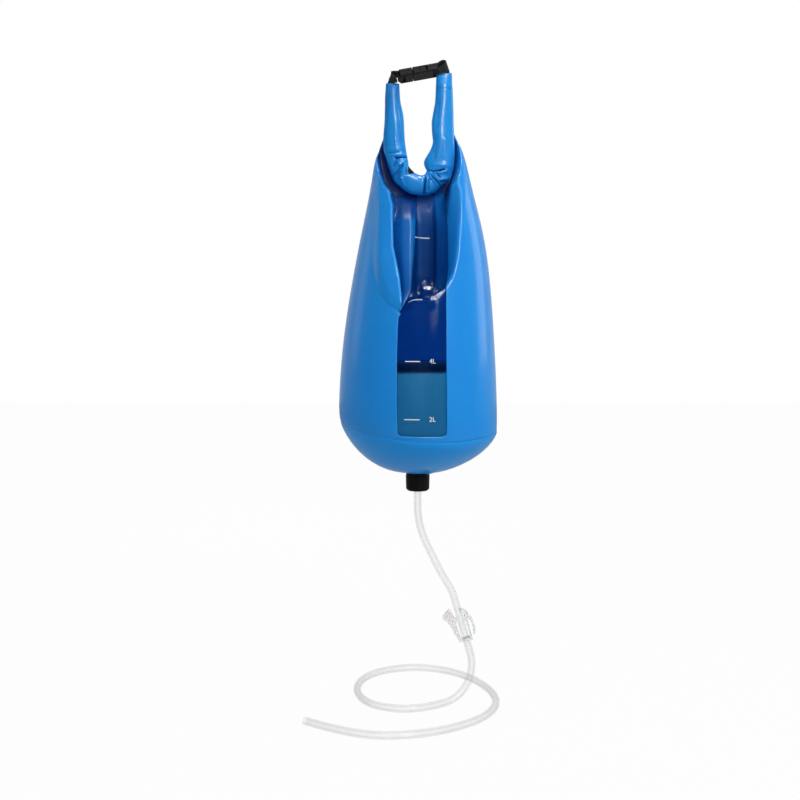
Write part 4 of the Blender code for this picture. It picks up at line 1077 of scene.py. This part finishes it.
# Where the cloth steps back beside the roll: height, and x at the left and
# at the right
STEP_BACK = np.array([
    (-0.1570, -0.0319, 0.0370), (-0.1490, -0.0345, 0.0383), (-0.1406, -0.0358, 0.0393),
    (-0.1328, -0.0423, 0.0406), (-0.1245, -0.0455, 0.0425), (-0.1180, -0.0485, 0.0440),
    (-0.0988, -0.0520, 0.0459), (-0.0850, -0.0540, 0.0480)])
STEP_RUN = 0.006
# The height from which the step fades in, and over how much
STEP_FADE_FROM, STEP_FADE = -0.176, 0.040
# The strip of cloth beside the roll that is fully back, and its run out
BESIDE_ROLL, BESIDE_RUN = 0.001, 0.007


def between_steps(x, z, run):
    """1 between the two edges where the cloth steps back beside the roll."""
    from_left = x - np.interp(z, STEP_BACK[:, 0], STEP_BACK[:, 1])
    from_right = np.interp(z, STEP_BACK[:, 0], STEP_BACK[:, 2]) - x
    return ease(from_left / run) * ease(from_right / run)


def tucked_back(x, y, z, turn):
    """Y, moved towards its layer behind the roll by the greater of two
    shares: one close beside the roll, and one between the steps."""
    beside = 1 - ease((from_roll(x, z) - ROLL_HALF_WIDTH - BESIDE_ROLL) / BESIDE_RUN)
    stepped = between_steps(x, z, STEP_RUN) * ease((z - STEP_FADE_FROM) / STEP_FADE)
    share = np.maximum(beside, stepped)
    parted = np.sign(np.cos(turn)) * LAYER_GAP / 2 * np.abs(np.cos(turn))**LAYER_POWER
    return y * (1 - share) + (BACK_Y - parted) * share


print(f"the cloth's layers lie {BACK_Y * 1000:.1f} mm behind the roll's line")

# %% [markdown]
# ### The whole surface
#
# Now the parts come together in one function. A second one gives the
# direction square to the surface, which the film and its print need.

# %% Surface of the wall
FLOOR_SHIFT = 0.0115
POCKET_SHARE = 0.90
# The fold over the lip: how far it drops, its height above the lip, its half
# height, and how much less the cloth moves over where it leans to the mouth
LIP_FOLD, LIP_BEHIND, LIP_SPREAD = 0.030, 0.031, 0.021
LESS_WHEN_LEANING = 0.8


def bag_surface(turn, rise):
    """A point of the wall.

    Across it is half width x sin turn, and towards the front half depth x
    cos turn, where both narrow as a power of the height. Each column leans
    over to its own place along the mouth, and cloth near the roll passes
    behind it. Above the lip the pocket's depth is taken off the front.
    """
    facing = np.sign(np.cos(turn))
    folded, mouth_x, height = wall_place(turn, rise)
    above_seam = height - SEAM_Z
    half_width, half_depth = half_sizes(height, seam_inset(turn) * np.exp(-above_seam / SEAM_ROUND))
    lean = ease((rise - LEAN_FROM) / (1 - LEAN_FROM))
    sway = SWAY * bell((height - SWAY_HEIGHT) / SWAY_SPAN)
    depth, drawn = pocket(folded, height, facing < 0)
    reach, proud = flap(folded, height, facing < 0)
    open_here = opened(folded, height)
    over = (FLOOR_SHIFT * drawn * open_here + reach) * (1 - LESS_WHEN_LEANING * lean)
    x = (half_width * np.sin(turn) + sway) * (1 - lean) + mouth_x * lean + over
    y = -half_depth * np.cos(turn) * (1 - POCKET_SHARE * depth * open_here)
    y = y - facing * FLAP_PROUD * proud * (1 - lean)
    dip = bell((above_lip(folded, height) - LIP_BEHIND) / LIP_SPREAD)
    z = height - LIP_FOLD * np.clip(depth, 0, 1) * dip
    z = z + seam_lift(turn) * np.exp(-above_seam / SEAM_FADE)
    return np.stack([x, tucked_back(x, y, z, turn), z], axis=-1)


def outward(turn, rise, step=1e-4):
    """The direction square to the wall: the cross product of the steps round
    the bag and up it."""
    across = bag_surface(turn + step, rise) - bag_surface(turn - step, rise)
    up = bag_surface(turn, rise + step) - bag_surface(turn, rise - step)
    square = np.cross(across, up)
    return square / np.maximum(np.linalg.norm(square, axis=-1, keepdims=True), 1e-12)


FLOOR_SPOT = np.array([FLOOR_MIDDLE]), np.array([0.75])
on_floor = bag_surface(*FLOOR_SPOT)
print("a spot on the pocket's floor, in mm:", np.round(on_floor[0] * 1000, 1).tolist())

# %% [markdown]
# ### Light in the folds
#
# The room's even light fills narrow folds more than the light in the
# photograph does. So the mesh carries a shade of its own, and the fabric's
# finish darkens with it: by the roll, in the hollow below it, and inside the
# pocket, most of all beside the flap's free edge.

# %% Shade of the wall
# By the roll: the distance that it starts from, and how far it reaches
FROM_ROLL, SHADE_REACH = 0.0125, 0.055
# Below the roll: its amount, the height it starts from, and over how much
BELOW_ROLL, BELOW_FROM, BELOW_RISE = 0.85, -0.190, 0.030
# How softly both end at the steps beside the roll
SHADE_RUN = 0.003
# In the pocket: its least share, and the darker band beside the free edge
FOLD_SHADE = 0.55
CREASE_TURN, CREASE_HALF = 0.035, 0.040


def wall_shade(turn, rise, points):
    """The greatest of three shades: by the roll, falling off with the
    distance; below it, the same all over; and in the pocket, its depth."""
    folded, _, height = wall_place(turn, rise)
    in_front = np.cos(turn) > 0
    depth, _ = pocket(folded, height, ~in_front)
    x, z = points[..., 0], points[..., 2]
    by_roll = 1 - ease((from_roll(x, z) - FROM_ROLL) / SHADE_REACH)
    below_roll = BELOW_ROLL * ease((z - BELOW_FROM) / BELOW_RISE)
    hollow = np.maximum(by_roll, below_roll) * between_steps(x, z, SHADE_RUN) * in_front
    fold = fold_turn(height)
    crease = bell((folded - fold - CREASE_TURN) / CREASE_HALF) * (folded > fold) * in_front
    in_fold = np.clip(depth, 0, 1) * (FOLD_SHADE + (1 - FOLD_SHADE) * crease) * opened(folded, height)
    return np.maximum(hollow, in_fold)


print(f"shade of the same spot on the floor: {wall_shade(*FLOOR_SPOT, on_floor)[0]:.2f}")

# %% [markdown]
# ### The sleeve with its window opening
#
# Rows and columns of the grid are set closer together where the cloth
# folds. The window could be cut out with a Boolean, but faces that are left
# out of the grid give a clean edge. So the columns in front of the window
# stop at its sill, whose corners are rounded: near each side the sill climbs
# by r - sqrt(r^2 - d^2).

# %% Sill and strip
# The window: turn of its middle, half its width as a turn, height of its
# sill over the seam, its corners' radius, and the run beside it to level
WINDOW_WIDTH = 0.0576
WINDOW_TURN = math.radians(2.3)
WINDOW_HALF = WINDOW_WIDTH / 2 / BAG_RADIUS
WINDOW_SILL = 0.0105
CORNER = 0.0055
SILL_BLEND = 0.002
# How far the strip's left side goes back, by the rise up the wall
STRIP_SPREAD = np.array([
    (0.0, 0.008), (0.48, 0.045), (0.56, 0.045), (0.62, 0.005), (0.82, 0.007), (0.91, -0.052),
    (0.96, -0.085)])
STRIP_RUN = 0.24


def tilt_at(turn, height):
    """How much lower or higher the bottom seam's tilt puts a place than the
    window's middle. What is printed or cut level takes it off."""
    beside = seam_lift(turn) - seam_lift(WINDOW_TURN)
    return beside * np.exp(-(height - SEAM_Z) / SEAM_FADE)


def sill_rise(turn):
    """Rise of the sill at a turn, over the window and level beyond it."""
    from_side = (WINDOW_HALF - np.abs(turn - WINDOW_TURN)) * BAG_RADIUS
    inward = np.clip(CORNER - from_side, 0, CORNER)
    level = WINDOW_SILL + CORNER - np.sqrt(CORNER**2 - inward**2)
    over_window = ease(from_side / SILL_BLEND + 1)
    return (level - tilt_at(turn, SEAM_Z + level) * over_window) / HANG_HEIGHT


def strip_turn(turn, rise):
    """The window strip keeps its width where the wall above is narrower, so
    its left side spreads, and above the lip it comes in again: a bell about
    the window's left side."""
    spread = np.interp(rise, STRIP_SPREAD[:, 0], STRIP_SPREAD[:, 1])
    return turn - spread * bell((turn - WINDOW_TURN + WINDOW_HALF) / STRIP_RUN)


print(f"window {WINDOW_WIDTH * 1000:.1f} mm wide, its sill {WINDOW_SILL * 1000:.1f} mm over the seam")

# %% [markdown]
# The grid's columns start at the window's left side and go once round, and
# its rows run from the seam to the sill and on to the mouth.

# %% Sleeve
# Stretches of rows, as start, end and count, that sleeve and film share
UPPER_ROWS = [(0.30, 0.60, 90), (0.60, 1.0, 70)]
WINDOW_CORNER = 0.80


def uneven(parts):
    """Numbers from stretches of (start, end, count), each end left to the
    next stretch."""
    steps = [np.linspace(a, b, count, endpoint=False) for a, b, count in parts]
    return np.concatenate([*steps, [parts[-1][1]]])


def cloth_map(turn, rise):
    """Metres round the bag and up it, for the threads to follow."""
    return np.stack([turn * BAG_RADIUS, rise * HANG_HEIGHT], axis=-1)


def sleeve():
    """Every column and row of the wall, less the faces over the window."""
    side = WINDOW_HALF
    corner = side * WINDOW_CORNER
    window = uneven([(-side, -corner, 8), (-corner, corner, 24), (corner, side, 8)])
    # On round the right side, the pocket behind and the left side
    around = uneven([(side, 1.20, 70), (1.20, 2.10, 16), (2.10, 4.40, 84), (4.40, 5.08, 10),
                     (5.08, 2 * np.pi - side, 70)])[1:-1]
    columns = WINDOW_TURN + np.concatenate([window, around])
    columns = np.where(columns > np.pi, columns - 2 * np.pi, columns)
    below = np.linspace(0, 1, 6)
    upper = uneven([(0, 0.30, 14), *UPPER_ROWS])[1:]
    sill = sill_rise(columns)[None, :]
    rows = np.vstack([sill * below[:, None], sill + (1 - sill) * upper[:, None]])
    turn = strip_turn(np.broadcast_to(columns, rows.shape), rows)
    points = bag_surface(turn, rows)
    quads = grid_quads(*rows.shape, round_columns=True)
    row, column = np.divmod(quads[:, 0], rows.shape[1])
    kept = (row < len(below) - 1) | (column >= len(window) - 1)
    shade = wall_shade(turn, rows, points)
    piece = make_piece("bag_sleeve", points, quads[kept], blue_coat, cloth_map(turn, rows), 80, shade)
    return thicken(piece, WALL)


bag_sleeve = sleeve()
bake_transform(bag_sleeve)
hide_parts("bag_wall")
print("sleeve points:", len(bag_sleeve.data.vertices))

# %% [markdown]
# ### The clear window
#
# The window is a strip of clear film welded behind the opening, a few
# millimetres wider than it all round, so it is the wall's own surface moved
# inwards. One fold runs over the pocket's lip: a low ridge about a short
# stroke, made from each point's distance to it.

# %% Window film
# Its thickness, its gap to the sleeve, and how far it goes past the opening
FILM = 0.0004
FILM_GAP = 0.0002
WELD = 0.0028
# The fold: x and z of both ends, its height, and its half width
WRINKLE_TOP = (0.0012, -0.2383)
WRINKLE_END = (0.0134, -0.2760)
WRINKLE_HEIGHT = 0.0018
WRINKLE_HALF = 0.0030
# The turn over which the film gets painted light on the pocket's right side
FLANK_LIGHT_TURN = 0.12


def from_stroke(a, b, start, end):
    """Distance from the points (a, b) to a short straight stroke: to the
    foot of the square on it, or to its nearer end."""
    run, over = end[0] - start[0], end[1] - start[1]
    share = np.clip(((a - start[0]) * run + (b - start[1]) * over) / (run**2 + over**2), 0, 1)
    return np.hypot(a - start[0] - share * run, b - start[1] - share * over)


def window_film():
    """The wall's surface, less half of both walls and a gap, with the fold
    as a bell of the distance to its stroke."""
    half = WINDOW_HALF + WELD / BAG_RADIUS
    columns = WINDOW_TURN + np.linspace(-half, half, 60)
    rows = uneven([((WINDOW_SILL - WELD) / HANG_HEIGHT, 0.30, 14), *UPPER_ROWS])
    turn, rise = np.meshgrid(columns, rows)
    turn = strip_turn(turn, rise)
    points = bag_surface(turn, rise) - outward(turn, rise) * (WALL / 2 + FILM / 2 + FILM_GAP)
    away = from_stroke(points[..., 0], points[..., 2], WRINKLE_TOP, WRINKLE_END)
    points[..., 1] -= WRINKLE_HEIGHT * bell(away / WRINKLE_HALF)
    height = wall_place(turn, rise)[2]
    depth, _ = pocket(turn, height)
    # Painted light on the pocket's right side, carried in the film's shade number
    haze_and_painted_light = ease((turn - FLOOR_RIGHT) / FLANK_LIGHT_TURN) * np.clip(depth, 0, 1) * opened(turn, height)
    piece = make_piece("window_film", points, grid_quads(*turn.shape), film,
                       cloth_map(turn, rise), 80, haze_and_painted_light)
    return thicken(piece, FILM)


film_strip = window_film()
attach(film_strip, "bag")
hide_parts("window_panel")
print("film points:", len(film_strip.data.vertices))

# %% [markdown]
# ### Volume marks
#
# A short bar and a figure for every two litres are printed in white on the
# film. Each is drawn flat first, then laid on the wall: what is to the side
# of the middle becomes a turn, and what is above becomes a rise. The figures
# come from Blender's own plain font, made a mesh before they are bent.

# %% Flat marks
INK = 0.00015
FIGURE_SIZE = 0.0078
BAR_FROM, BAR_TO = -0.0216, -0.0036
BAR_HALF_HEIGHT = 0.00055


def figure_mesh(words):
    """Flat points and faces of some figures, their middle at the origin."""
    curve = bpy.data.curves.new("figure", "FONT")
    curve.body = words
    curve.size = FIGURE_SIZE
    curve.align_x = "CENTER"
    curve.align_y = "CENTER"
    curve.extrude = INK / 2
    holder = bpy.data.objects.new("figure", curve)
    bpy.context.scene.collection.objects.link(holder)
    mesh = bpy.data.meshes.new_from_object(holder)
    points = np.empty(len(mesh.vertices) * 3)
    mesh.vertices.foreach_get("co", points)
    faces = [list(face.vertices) for face in mesh.polygons]
    bpy.data.objects.remove(holder)
    return points.reshape(-1, 3), faces


def bar_mesh(columns=14):
    """A closed bar: a ring of four corners at each column, and two ends."""
    x = np.linspace(BAR_FROM, BAR_TO, columns)
    corners = np.array([(-1, -1), (1, -1), (1, 1), (-1, 1)]) * (BAR_HALF_HEIGHT, INK / 2)
    points = np.concatenate([np.column_stack([np.full(4, at), corners]) for at in x])
    faces = grid_quads(columns, 4, round_columns=True).tolist()
    last = 4 * (columns - 1)
    return points, faces + [[3, 2, 1, 0], [last, last + 1, last + 2, last + 3]]


print(f"bars {(BAR_TO - BAR_FROM) * 1000:.0f} mm long, figures {FIGURE_SIZE * 1000:.1f} mm high")

# %% [markdown]
# The flat marks are laid on the wall at their heights. On the pocket's
# floor the film is gathered, so the topmost bar is wider there, and no
# figure shows beside it.

# %% Marks on the film
FIGURE_MIDDLE = 0.0112
INK_LIFT = 0.0002
VOLUMES = {"2L": -0.4064, "4L": -0.3396, "6L": -0.2652, "8L": -0.1930}
# How much wider a gathered bar is, and how far it is moved across
GATHERED = {"8L": (1.5, -0.0016)}


def lay_on_wall(flat, height, lift):
    """Flat points, in metres to the side of the window's middle, above a
    height and off the surface, as points on the wall."""
    turn = WINDOW_TURN + flat[:, 0] / BAG_RADIUS
    _, mouth_z = along_loop(turn / (np.pi / 2))
    rise = (height - SEAM_Z + flat[:, 1] - tilt_at(turn, height)) / (mouth_z - SEAM_Z)
    return bag_surface(turn, rise) + outward(turn, rise) * (lift + flat[:, 2:3])


def volume_marks():
    """All bars and figures as one piece, each part's corner numbers moved
    on past those before it."""
    points, faces = [], []
    for words, height in VOLUMES.items():
        wider, shift = GATHERED.get(words, (1.0, 0.0))
        drawn = [bar_mesh()]
        if words not in GATHERED:
            figure, outline = figure_mesh(words)
            drawn.append((figure + (FIGURE_MIDDLE, 0, 0), outline))
        for flat, sides in drawn:
            start = sum(len(part) for part in points)
            points.append(lay_on_wall(flat * (wider, 1, 1) + (shift, 0, 0), height, INK_LIFT))
            faces += [[corner + start for corner in side] for side in sides]
    ink, tree, shader = new_finish("white_ink", Specular_IOR_Level=0.3)
    patch = noise(tree, object_place(tree), 900.0, 2.0)
    feed(tree, shader, Base_Color=tone(tree, patch, (0.70, 0.74, 0.78), (0.86, 0.88, 0.90)),
         Roughness=patch * 0.2 + 0.4)
    return make_piece("volume_marks", np.concatenate(points), faces, ink, sharp=30)


marks = volume_marks()
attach(marks, "bag")
print("volume marks:", ", ".join(VOLUMES))

# %% [markdown]
# ### The round bottom
#
# The bottom is a disc welded to the sleeve. The water presses it down into
# a bowl, with a flat in the middle where the outlet is bolted through. A
# profile turned round an axis would do for a level bowl, but the seam is
# tilted and soft folds run out from the outlet, so it is a formula too.

# %% Bottom
# The flat's radius, and how far it hangs under the seam
FLAT_RADIUS = 0.024
BOTTOM_BULGE = 0.047
RINGS, SPOKES = 60, 240
# Shares past the flat's edge, for the rings under the outlet's flange
UNDER_FLANGE = [-0.08, -0.18]
EDGE_OVERLAP = 0.0004
# The rim is tucked up inside the sleeve: heights over the seam, and the gap
TUCK_HEIGHTS = np.array([[0.004], [0.0003]])
TUCK_GAP = 0.0001
# Soft folds that run out from the outlet: turn, half width, depth, reach
OUTLET_FOLDS = np.array([
    (12, 6.0, 0.0026, 0.60), (24, 8.0, -0.0012, 0.60), (-35, 12.0, 0.0008, 0.45),
    (75, 10.0, 0.0014, 0.70), (150, 9.0, 0.0016, 0.60), (-120, 11.0, 0.0014, 0.55)])
FOLD_START = 0.12
# Where the disc lies on the cloth's map, clear of the sleeve
DISC_ON_MAP = 0.6


def bottom():
    """Rings from the seam in to the outlet: share of the way s falls from 1
    to 0, the radius with it, and the drop is (1 - s^1.45)^0.65 of the bulge.
    The seam's tilt fades as s^3, the overlap at the edge as s^12, and each
    fold is a bell about its turn."""
    share = np.concatenate([np.cos(np.linspace(0, np.pi / 2, RINGS)), UNDER_FLANGE])[:, None]
    turn = np.linspace(-np.pi, np.pi, SPOKES, endpoint=False)[None, :]
    rim = BAG_RADIUS - seam_inset(turn)
    inward = np.clip(share, 0, 1)
    drop = BOTTOM_BULGE * (1 - inward**1.45)**0.65
    for middle, half, depth, reach in OUTLET_FOLDS:
        round_way = (turn - math.radians(middle)) / math.radians(half)
        along = ease(inward / FOLD_START) * ease((reach - inward) / reach)
        drop = drop - depth * bell(round_way) * along
    edge = EDGE_OVERLAP * inward**12
    radius = FLAT_RADIUS + (rim - FLAT_RADIUS) * share + edge
    z = SEAM_Z - drop + seam_lift(turn) * inward**3 + edge
    radius = np.vstack([np.repeat(rim - WALL - TUCK_GAP, len(TUCK_HEIGHTS), axis=0), radius])
    z = np.vstack([SEAM_Z + TUCK_HEIGHTS + seam_lift(turn), z])
    x, y = radius * np.sin(turn), -radius * np.cos(turn)
    places = np.stack([x, y + DISC_ON_MAP], axis=-1)
    quads = grid_quads(*radius.shape, round_columns=True)
    points = np.stack([x, y, z], axis=-1)
    piece = make_piece("bag_base", points, quads[:, ::-1], bottom_coat_painted_lighter, places, 80)
    return thicken(piece, WALL)


bag_base = bottom()
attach(bag_base, "bag")
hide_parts("bag_bottom")
print("bottom points:", len(bag_base.data.vertices))

# %% [markdown]
# ## The rolled mouth
#
# The sleeve's top is wound more than two turns round its stiffener, so a
# cut across the roll is a flat spiral. Carrying that spiral along the loop's
# line gives the whole roll, with its layers showing at both ends. Its two
# sides stand out unevenly, and each is read off the photograph.

# %% Sides of the roll
# The place along the loop, and how far the side stands from its line, in
# millimetres. The inner side has a lobe of cloth where the bend turns up to
# the right leg.
OUTER_SIDE = np.array([
    (0, 8.4), (25, 8.7), (45, 11.4), (62, 13.8), (78, 14.9), (86, 13.8), (96, 14.4), (102, 15.5),
    (108, 17.2), (111, 17.6), (114, 16.4), (123, 16.5), (129, 15.7), (135, 12.9), (141, 11.7),
    (150, 10.4), (154, 8.7), (157, 8.6), (162, 12.6), (165, 13.8), (171, 12.8), (189, 13.3),
    (218, 14.0), (239, 12.5), (249, 11.5), (284, 9.8)]) / 1000
INNER_SIDE = np.array([
    (0, 8.4), (27, 11.8), (37, 13.4), (80, 13.6), (90, 13.0), (99, 11.6), (104, 9.8), (108, 6.9),
    (111, 4.6), (114, 3.6), (116, 4.6), (118, 8.6), (121, 9.8), (126, 10.4), (132, 12.1),
    (136, 14.5), (141, 16.0), (150, 17.4), (159, 19.6), (165, 22.3), (171, 24.4), (177, 25.5),
    (183, 24.1), (189, 21.4), (195, 18.0), (201, 15.2), (206, 13.8), (217, 14.6), (228, 15.0),
    (242, 13.3), (250, 12.0), (284, 9.8)]) / 1000


def side_reach(sides, reach):
    """How far one side stands from the line, as the mean of three readings
    1.2 mm apart, which rounds its corners off."""
    shifts = (-0.0012, 0.0, 0.0012)
    return np.mean([np.interp(reach + shift, sides[:, 0], sides[:, 1]) for shift in shifts], axis=0)


print(f"the roll is up to {(INNER_SIDE[:, 1].max() + OUTER_SIDE[:, 1].max()) * 1000:.0f} mm wide")

# %% [markdown]
# ### Creases
#
# Where the roll bends, its inner side crumples into short folds across it,
# and long soft ones run up its legs. Sculpting would be one way to make
# them. Here each is a stroke with a width and a depth, as the film's fold
# is, so a list of strokes is all there is to change.

# %% Creases
# Creases and, with a depth below nothing, ridges. Each runs between two
# points, place along the loop and distance to the inside of its line; then
# come its half width and its depth, all in millimetres.
CREASES = np.array([
    (93, 13, 89, -2, 1.1, 4.2), (82, -9, 84, 4, 1.2, 1.6), (101, 2, 106, -15, 2.0, 2.4),
    (91, 0, 97, -7, 1.7, 2.2), (106, -5, 110, -11, 1.8, 1.9), (157, 20, 171, -1, 1.3, 4.6),
    (163, 6, 160, -1, 0.9, 2.2), (154, 9, 155, -6, 1.0, 3.8), (139, 9, 139, -9, 1.6, 4.2),
    (145, 6, 142, -6, 0.8, 2.0), (158, -4, 164, -14, 1.0, 3.2), (108, 3, 113, 1, 1.4, 2.6),
    (97, 9, 98, 0, 1.2, -2.3), (98, 0, 102, -12, 1.2, -2.1), (101, 7, 112, -7, 1.2, -2.2),
    (112, -7, 118, -11, 1.2, -1.7), (85, -4, 87, 10, 1.5, -1.4), (77, -8, 80, 4, 2.2, -0.7),
    (174, 13, 178, -11, 1.8, -0.9), (163, 9, 170, -5, 1.2, -2.2), (155, 11, 151, 7, 1.0, -1.9),
    (151, 7, 153, -4, 1.1, -1.9), (158, -1, 165, -12, 1.6, -2.2), (143, 10, 141, -7, 0.8, -1.4),
    (147, 3, 144, -9, 1.4, -1.4), (268, -12, 268, 12, 0.7, 0.9), (266, -12, 266, 12, 0.8, -0.6),
    (22, -7, 74, -11, 3.0, 0.9), (30, 6, 70, 9, 1.8, 0.7), (48, 3, 84, 1, 1.6, -0.5),
    (184, 13, 212, 9, 2.4, 0.8), (186, 2, 206, -1, 1.4, -0.7), (222, 8, 252, 7, 2.0, 0.8),
]) / 1000


def crumple(reach, across):
    """Depth of the creases. With d the distance from a crease's stroke in
    half widths, each is depth x (1.25 e^-root(d^2 + 0.05) - 0.30 e^-(d/3.5)^2):
    sharp at its middle, and raised on its sides by the cloth it takes."""
    total = 0
    for from_reach, from_across, to_reach, to_across, half, depth in CREASES:
        stroke = (from_reach, from_across), (to_reach, to_across)
        away = from_stroke(reach, across, *stroke) / half
        total = total + depth * (1.25 * np.exp(-np.sqrt(away**2 + 0.05)) - 0.30 * bell(away / 3.5))
    return total


print("creases and ridges:", len(CREASES))

# %% [markdown]
# ### The roll itself
#
# The grid's rows follow the loop and its columns follow the spiral. The
# roll is thick in the middle and thin at its two ends, where the webbing is
# sewn in, and its right leg is turned a little, as it hangs.

# %% Roll
# The spiral: its sheet, its turns, the inner turn's share of the size, and
# the angle that it starts from
ROLL_SHEET = 0.0006
SPIRAL_TURNS = 2.2
SPIRAL_INNER = 0.76
SPIRAL_FROM = math.radians(70)
# How flat the ends are, and over which length
END_FLATNESS, END_RUN = 0.25, 0.014
# The right leg's turn, as depth for width, and where and how far it goes
RIGHT_LEG_TURN, RIGHT_LEG_AT, RIGHT_LEG_SPAN = 0.21, 0.225, 0.055
# The right end's cut edge: how much it rises and slopes, over which length
RIGHT_END_RISE, RIGHT_END_SLOPE, RIGHT_END_RUN = 0.0013, 0.14, 0.012
# The crease depth that is fully shaded, and the shade at the left end
FULL_SHADE = 0.0026
LEFT_END_SHADE, LEFT_END_REACH = 0.40, 0.050
# A flattened roll's way round, as a share of a round one's
AROUND_SHARE = 0.8


def roll():
    """The spiral cross-section carried along the loop: turn a goes from the
    inner edge to the outer, and the radius grows evenly with it. Across it
    is side x cos a, and in depth thickness x sin a, less the creases. The
    rows are closer in the bend, and the columns on the outer turn."""
    places = uneven([(0, 0.070, 30), (0.070, 0.215, 180), (0.215, LOOP_REACH[-1], 30)])
    line = np.stack([np.interp(places, LOOP_REACH, LOOP[:, axis]) for axis in range(3)], axis=1)
    reach = places[:, None]
    to_end = LOOP_REACH[-1] - reach
    ahead = headings(line)
    sideways = np.column_stack([-ahead[:, 2], np.zeros(len(line)), ahead[:, 0]])
    wound = uneven([(0, 0.54, 50), (0.54, 1, 110)])[None, :]
    turn = SPIRAL_FROM + wound * SPIRAL_TURNS * 2 * np.pi
    share = SPIRAL_INNER + (1 - SPIRAL_INNER) * wound
    sides = np.where(np.cos(turn) > 0, side_reach(INNER_SIDE, reach), side_reach(OUTER_SIDE, reach))
    wide = sides * share * np.cos(turn)
    ends = ease(reach / END_RUN) * ease(to_end / END_RUN)
    half_depth = ROLL_HALF_WIDTH * (END_FLATNESS + (ROLL_FLATNESS - END_FLATNESS) * ends)
    folds = crumple(reach, wide)
    deep = (half_depth * share - folds) * np.sin(turn)
    deep = deep - RIGHT_LEG_TURN * wide * bell((reach - RIGHT_LEG_AT) / RIGHT_LEG_SPAN)
    points = (line[:, None] + sideways[:, None] * wide[..., None]
              + np.array([0, 1, 0]) * deep[..., None])
    points[..., 2] += ease(1 - to_end / RIGHT_END_RUN) * (RIGHT_END_RISE - RIGHT_END_SLOPE * wide)
    around = turn * ROLL_HALF_WIDTH * AROUND_SHARE
    cloth = np.stack(np.broadcast_arrays(around, reach), axis=-1)
    shade = folds / FULL_SHADE + LEFT_END_SHADE * (1 - ease(reach / LEFT_END_REACH))
    piece = make_piece("mouth_roll_cloth", points, grid_quads(*points.shape[:2]), blue_coat,
                       cloth, 80, shade)
    return thicken(piece, ROLL_SHEET)


rolled = roll()
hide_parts("mouth_roll", "mouth_roll_left_end")
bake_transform(rolled)
print("roll points:", len(rolled.data.vertices))

# %% [markdown]
# ## Finishes for the solids that stay
#
# The moulded pieces, the webbing and what is inside keep the solids' own
# shape, because the solids already have their plates, threads and prongs.
# They only get their finish here.

# %% Finish the solids
FINISHES = {
    "outlet_flange": black_mould, "lock_nut": black_mould, "hose_tail": black_mould,
    "union_nut": black_mould, "cartridge_base": black_mould, "cartridge_lid": black_mould,
    "cartridge_housing": housing_mould, "outlet_gasket": black_rubber,
    "outlet_washer": black_rubber, "cartridge_seal": black_rubber,
    "prefilter_pad": fibre_felt, "fibre_bundle": fibre_felt,
    "buckle_socket": black_mould, "buckle_plug": black_mould,
    "buckle_prong_front": black_mould, "buckle_prong_back": black_mould,
    "webbing_tab_left": black_webbing, "webbing_tab_right": black_webbing,
    "mouth_stiffener": black_mould, "clamp_frame": clamp_milk, "clamp_lever": clamp_milk,
}
for name, finish in FINISHES.items():
    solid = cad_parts[name]
    solid.data.materials.clear()
    solid.data.materials.append(finish)
print("solids finished:", len(FINISHES))

# %% [markdown]
# ## The hose's length
#
# A hose is soft, so whoever uses the bag may want to lay it another way. For
# that its length and its thickness are printed; the clamp's two pieces sit on
# it.

# %% Cord
print(f"cord 1.065 m long, {2000 * HOSE_RADIUS:.1f} mm across")
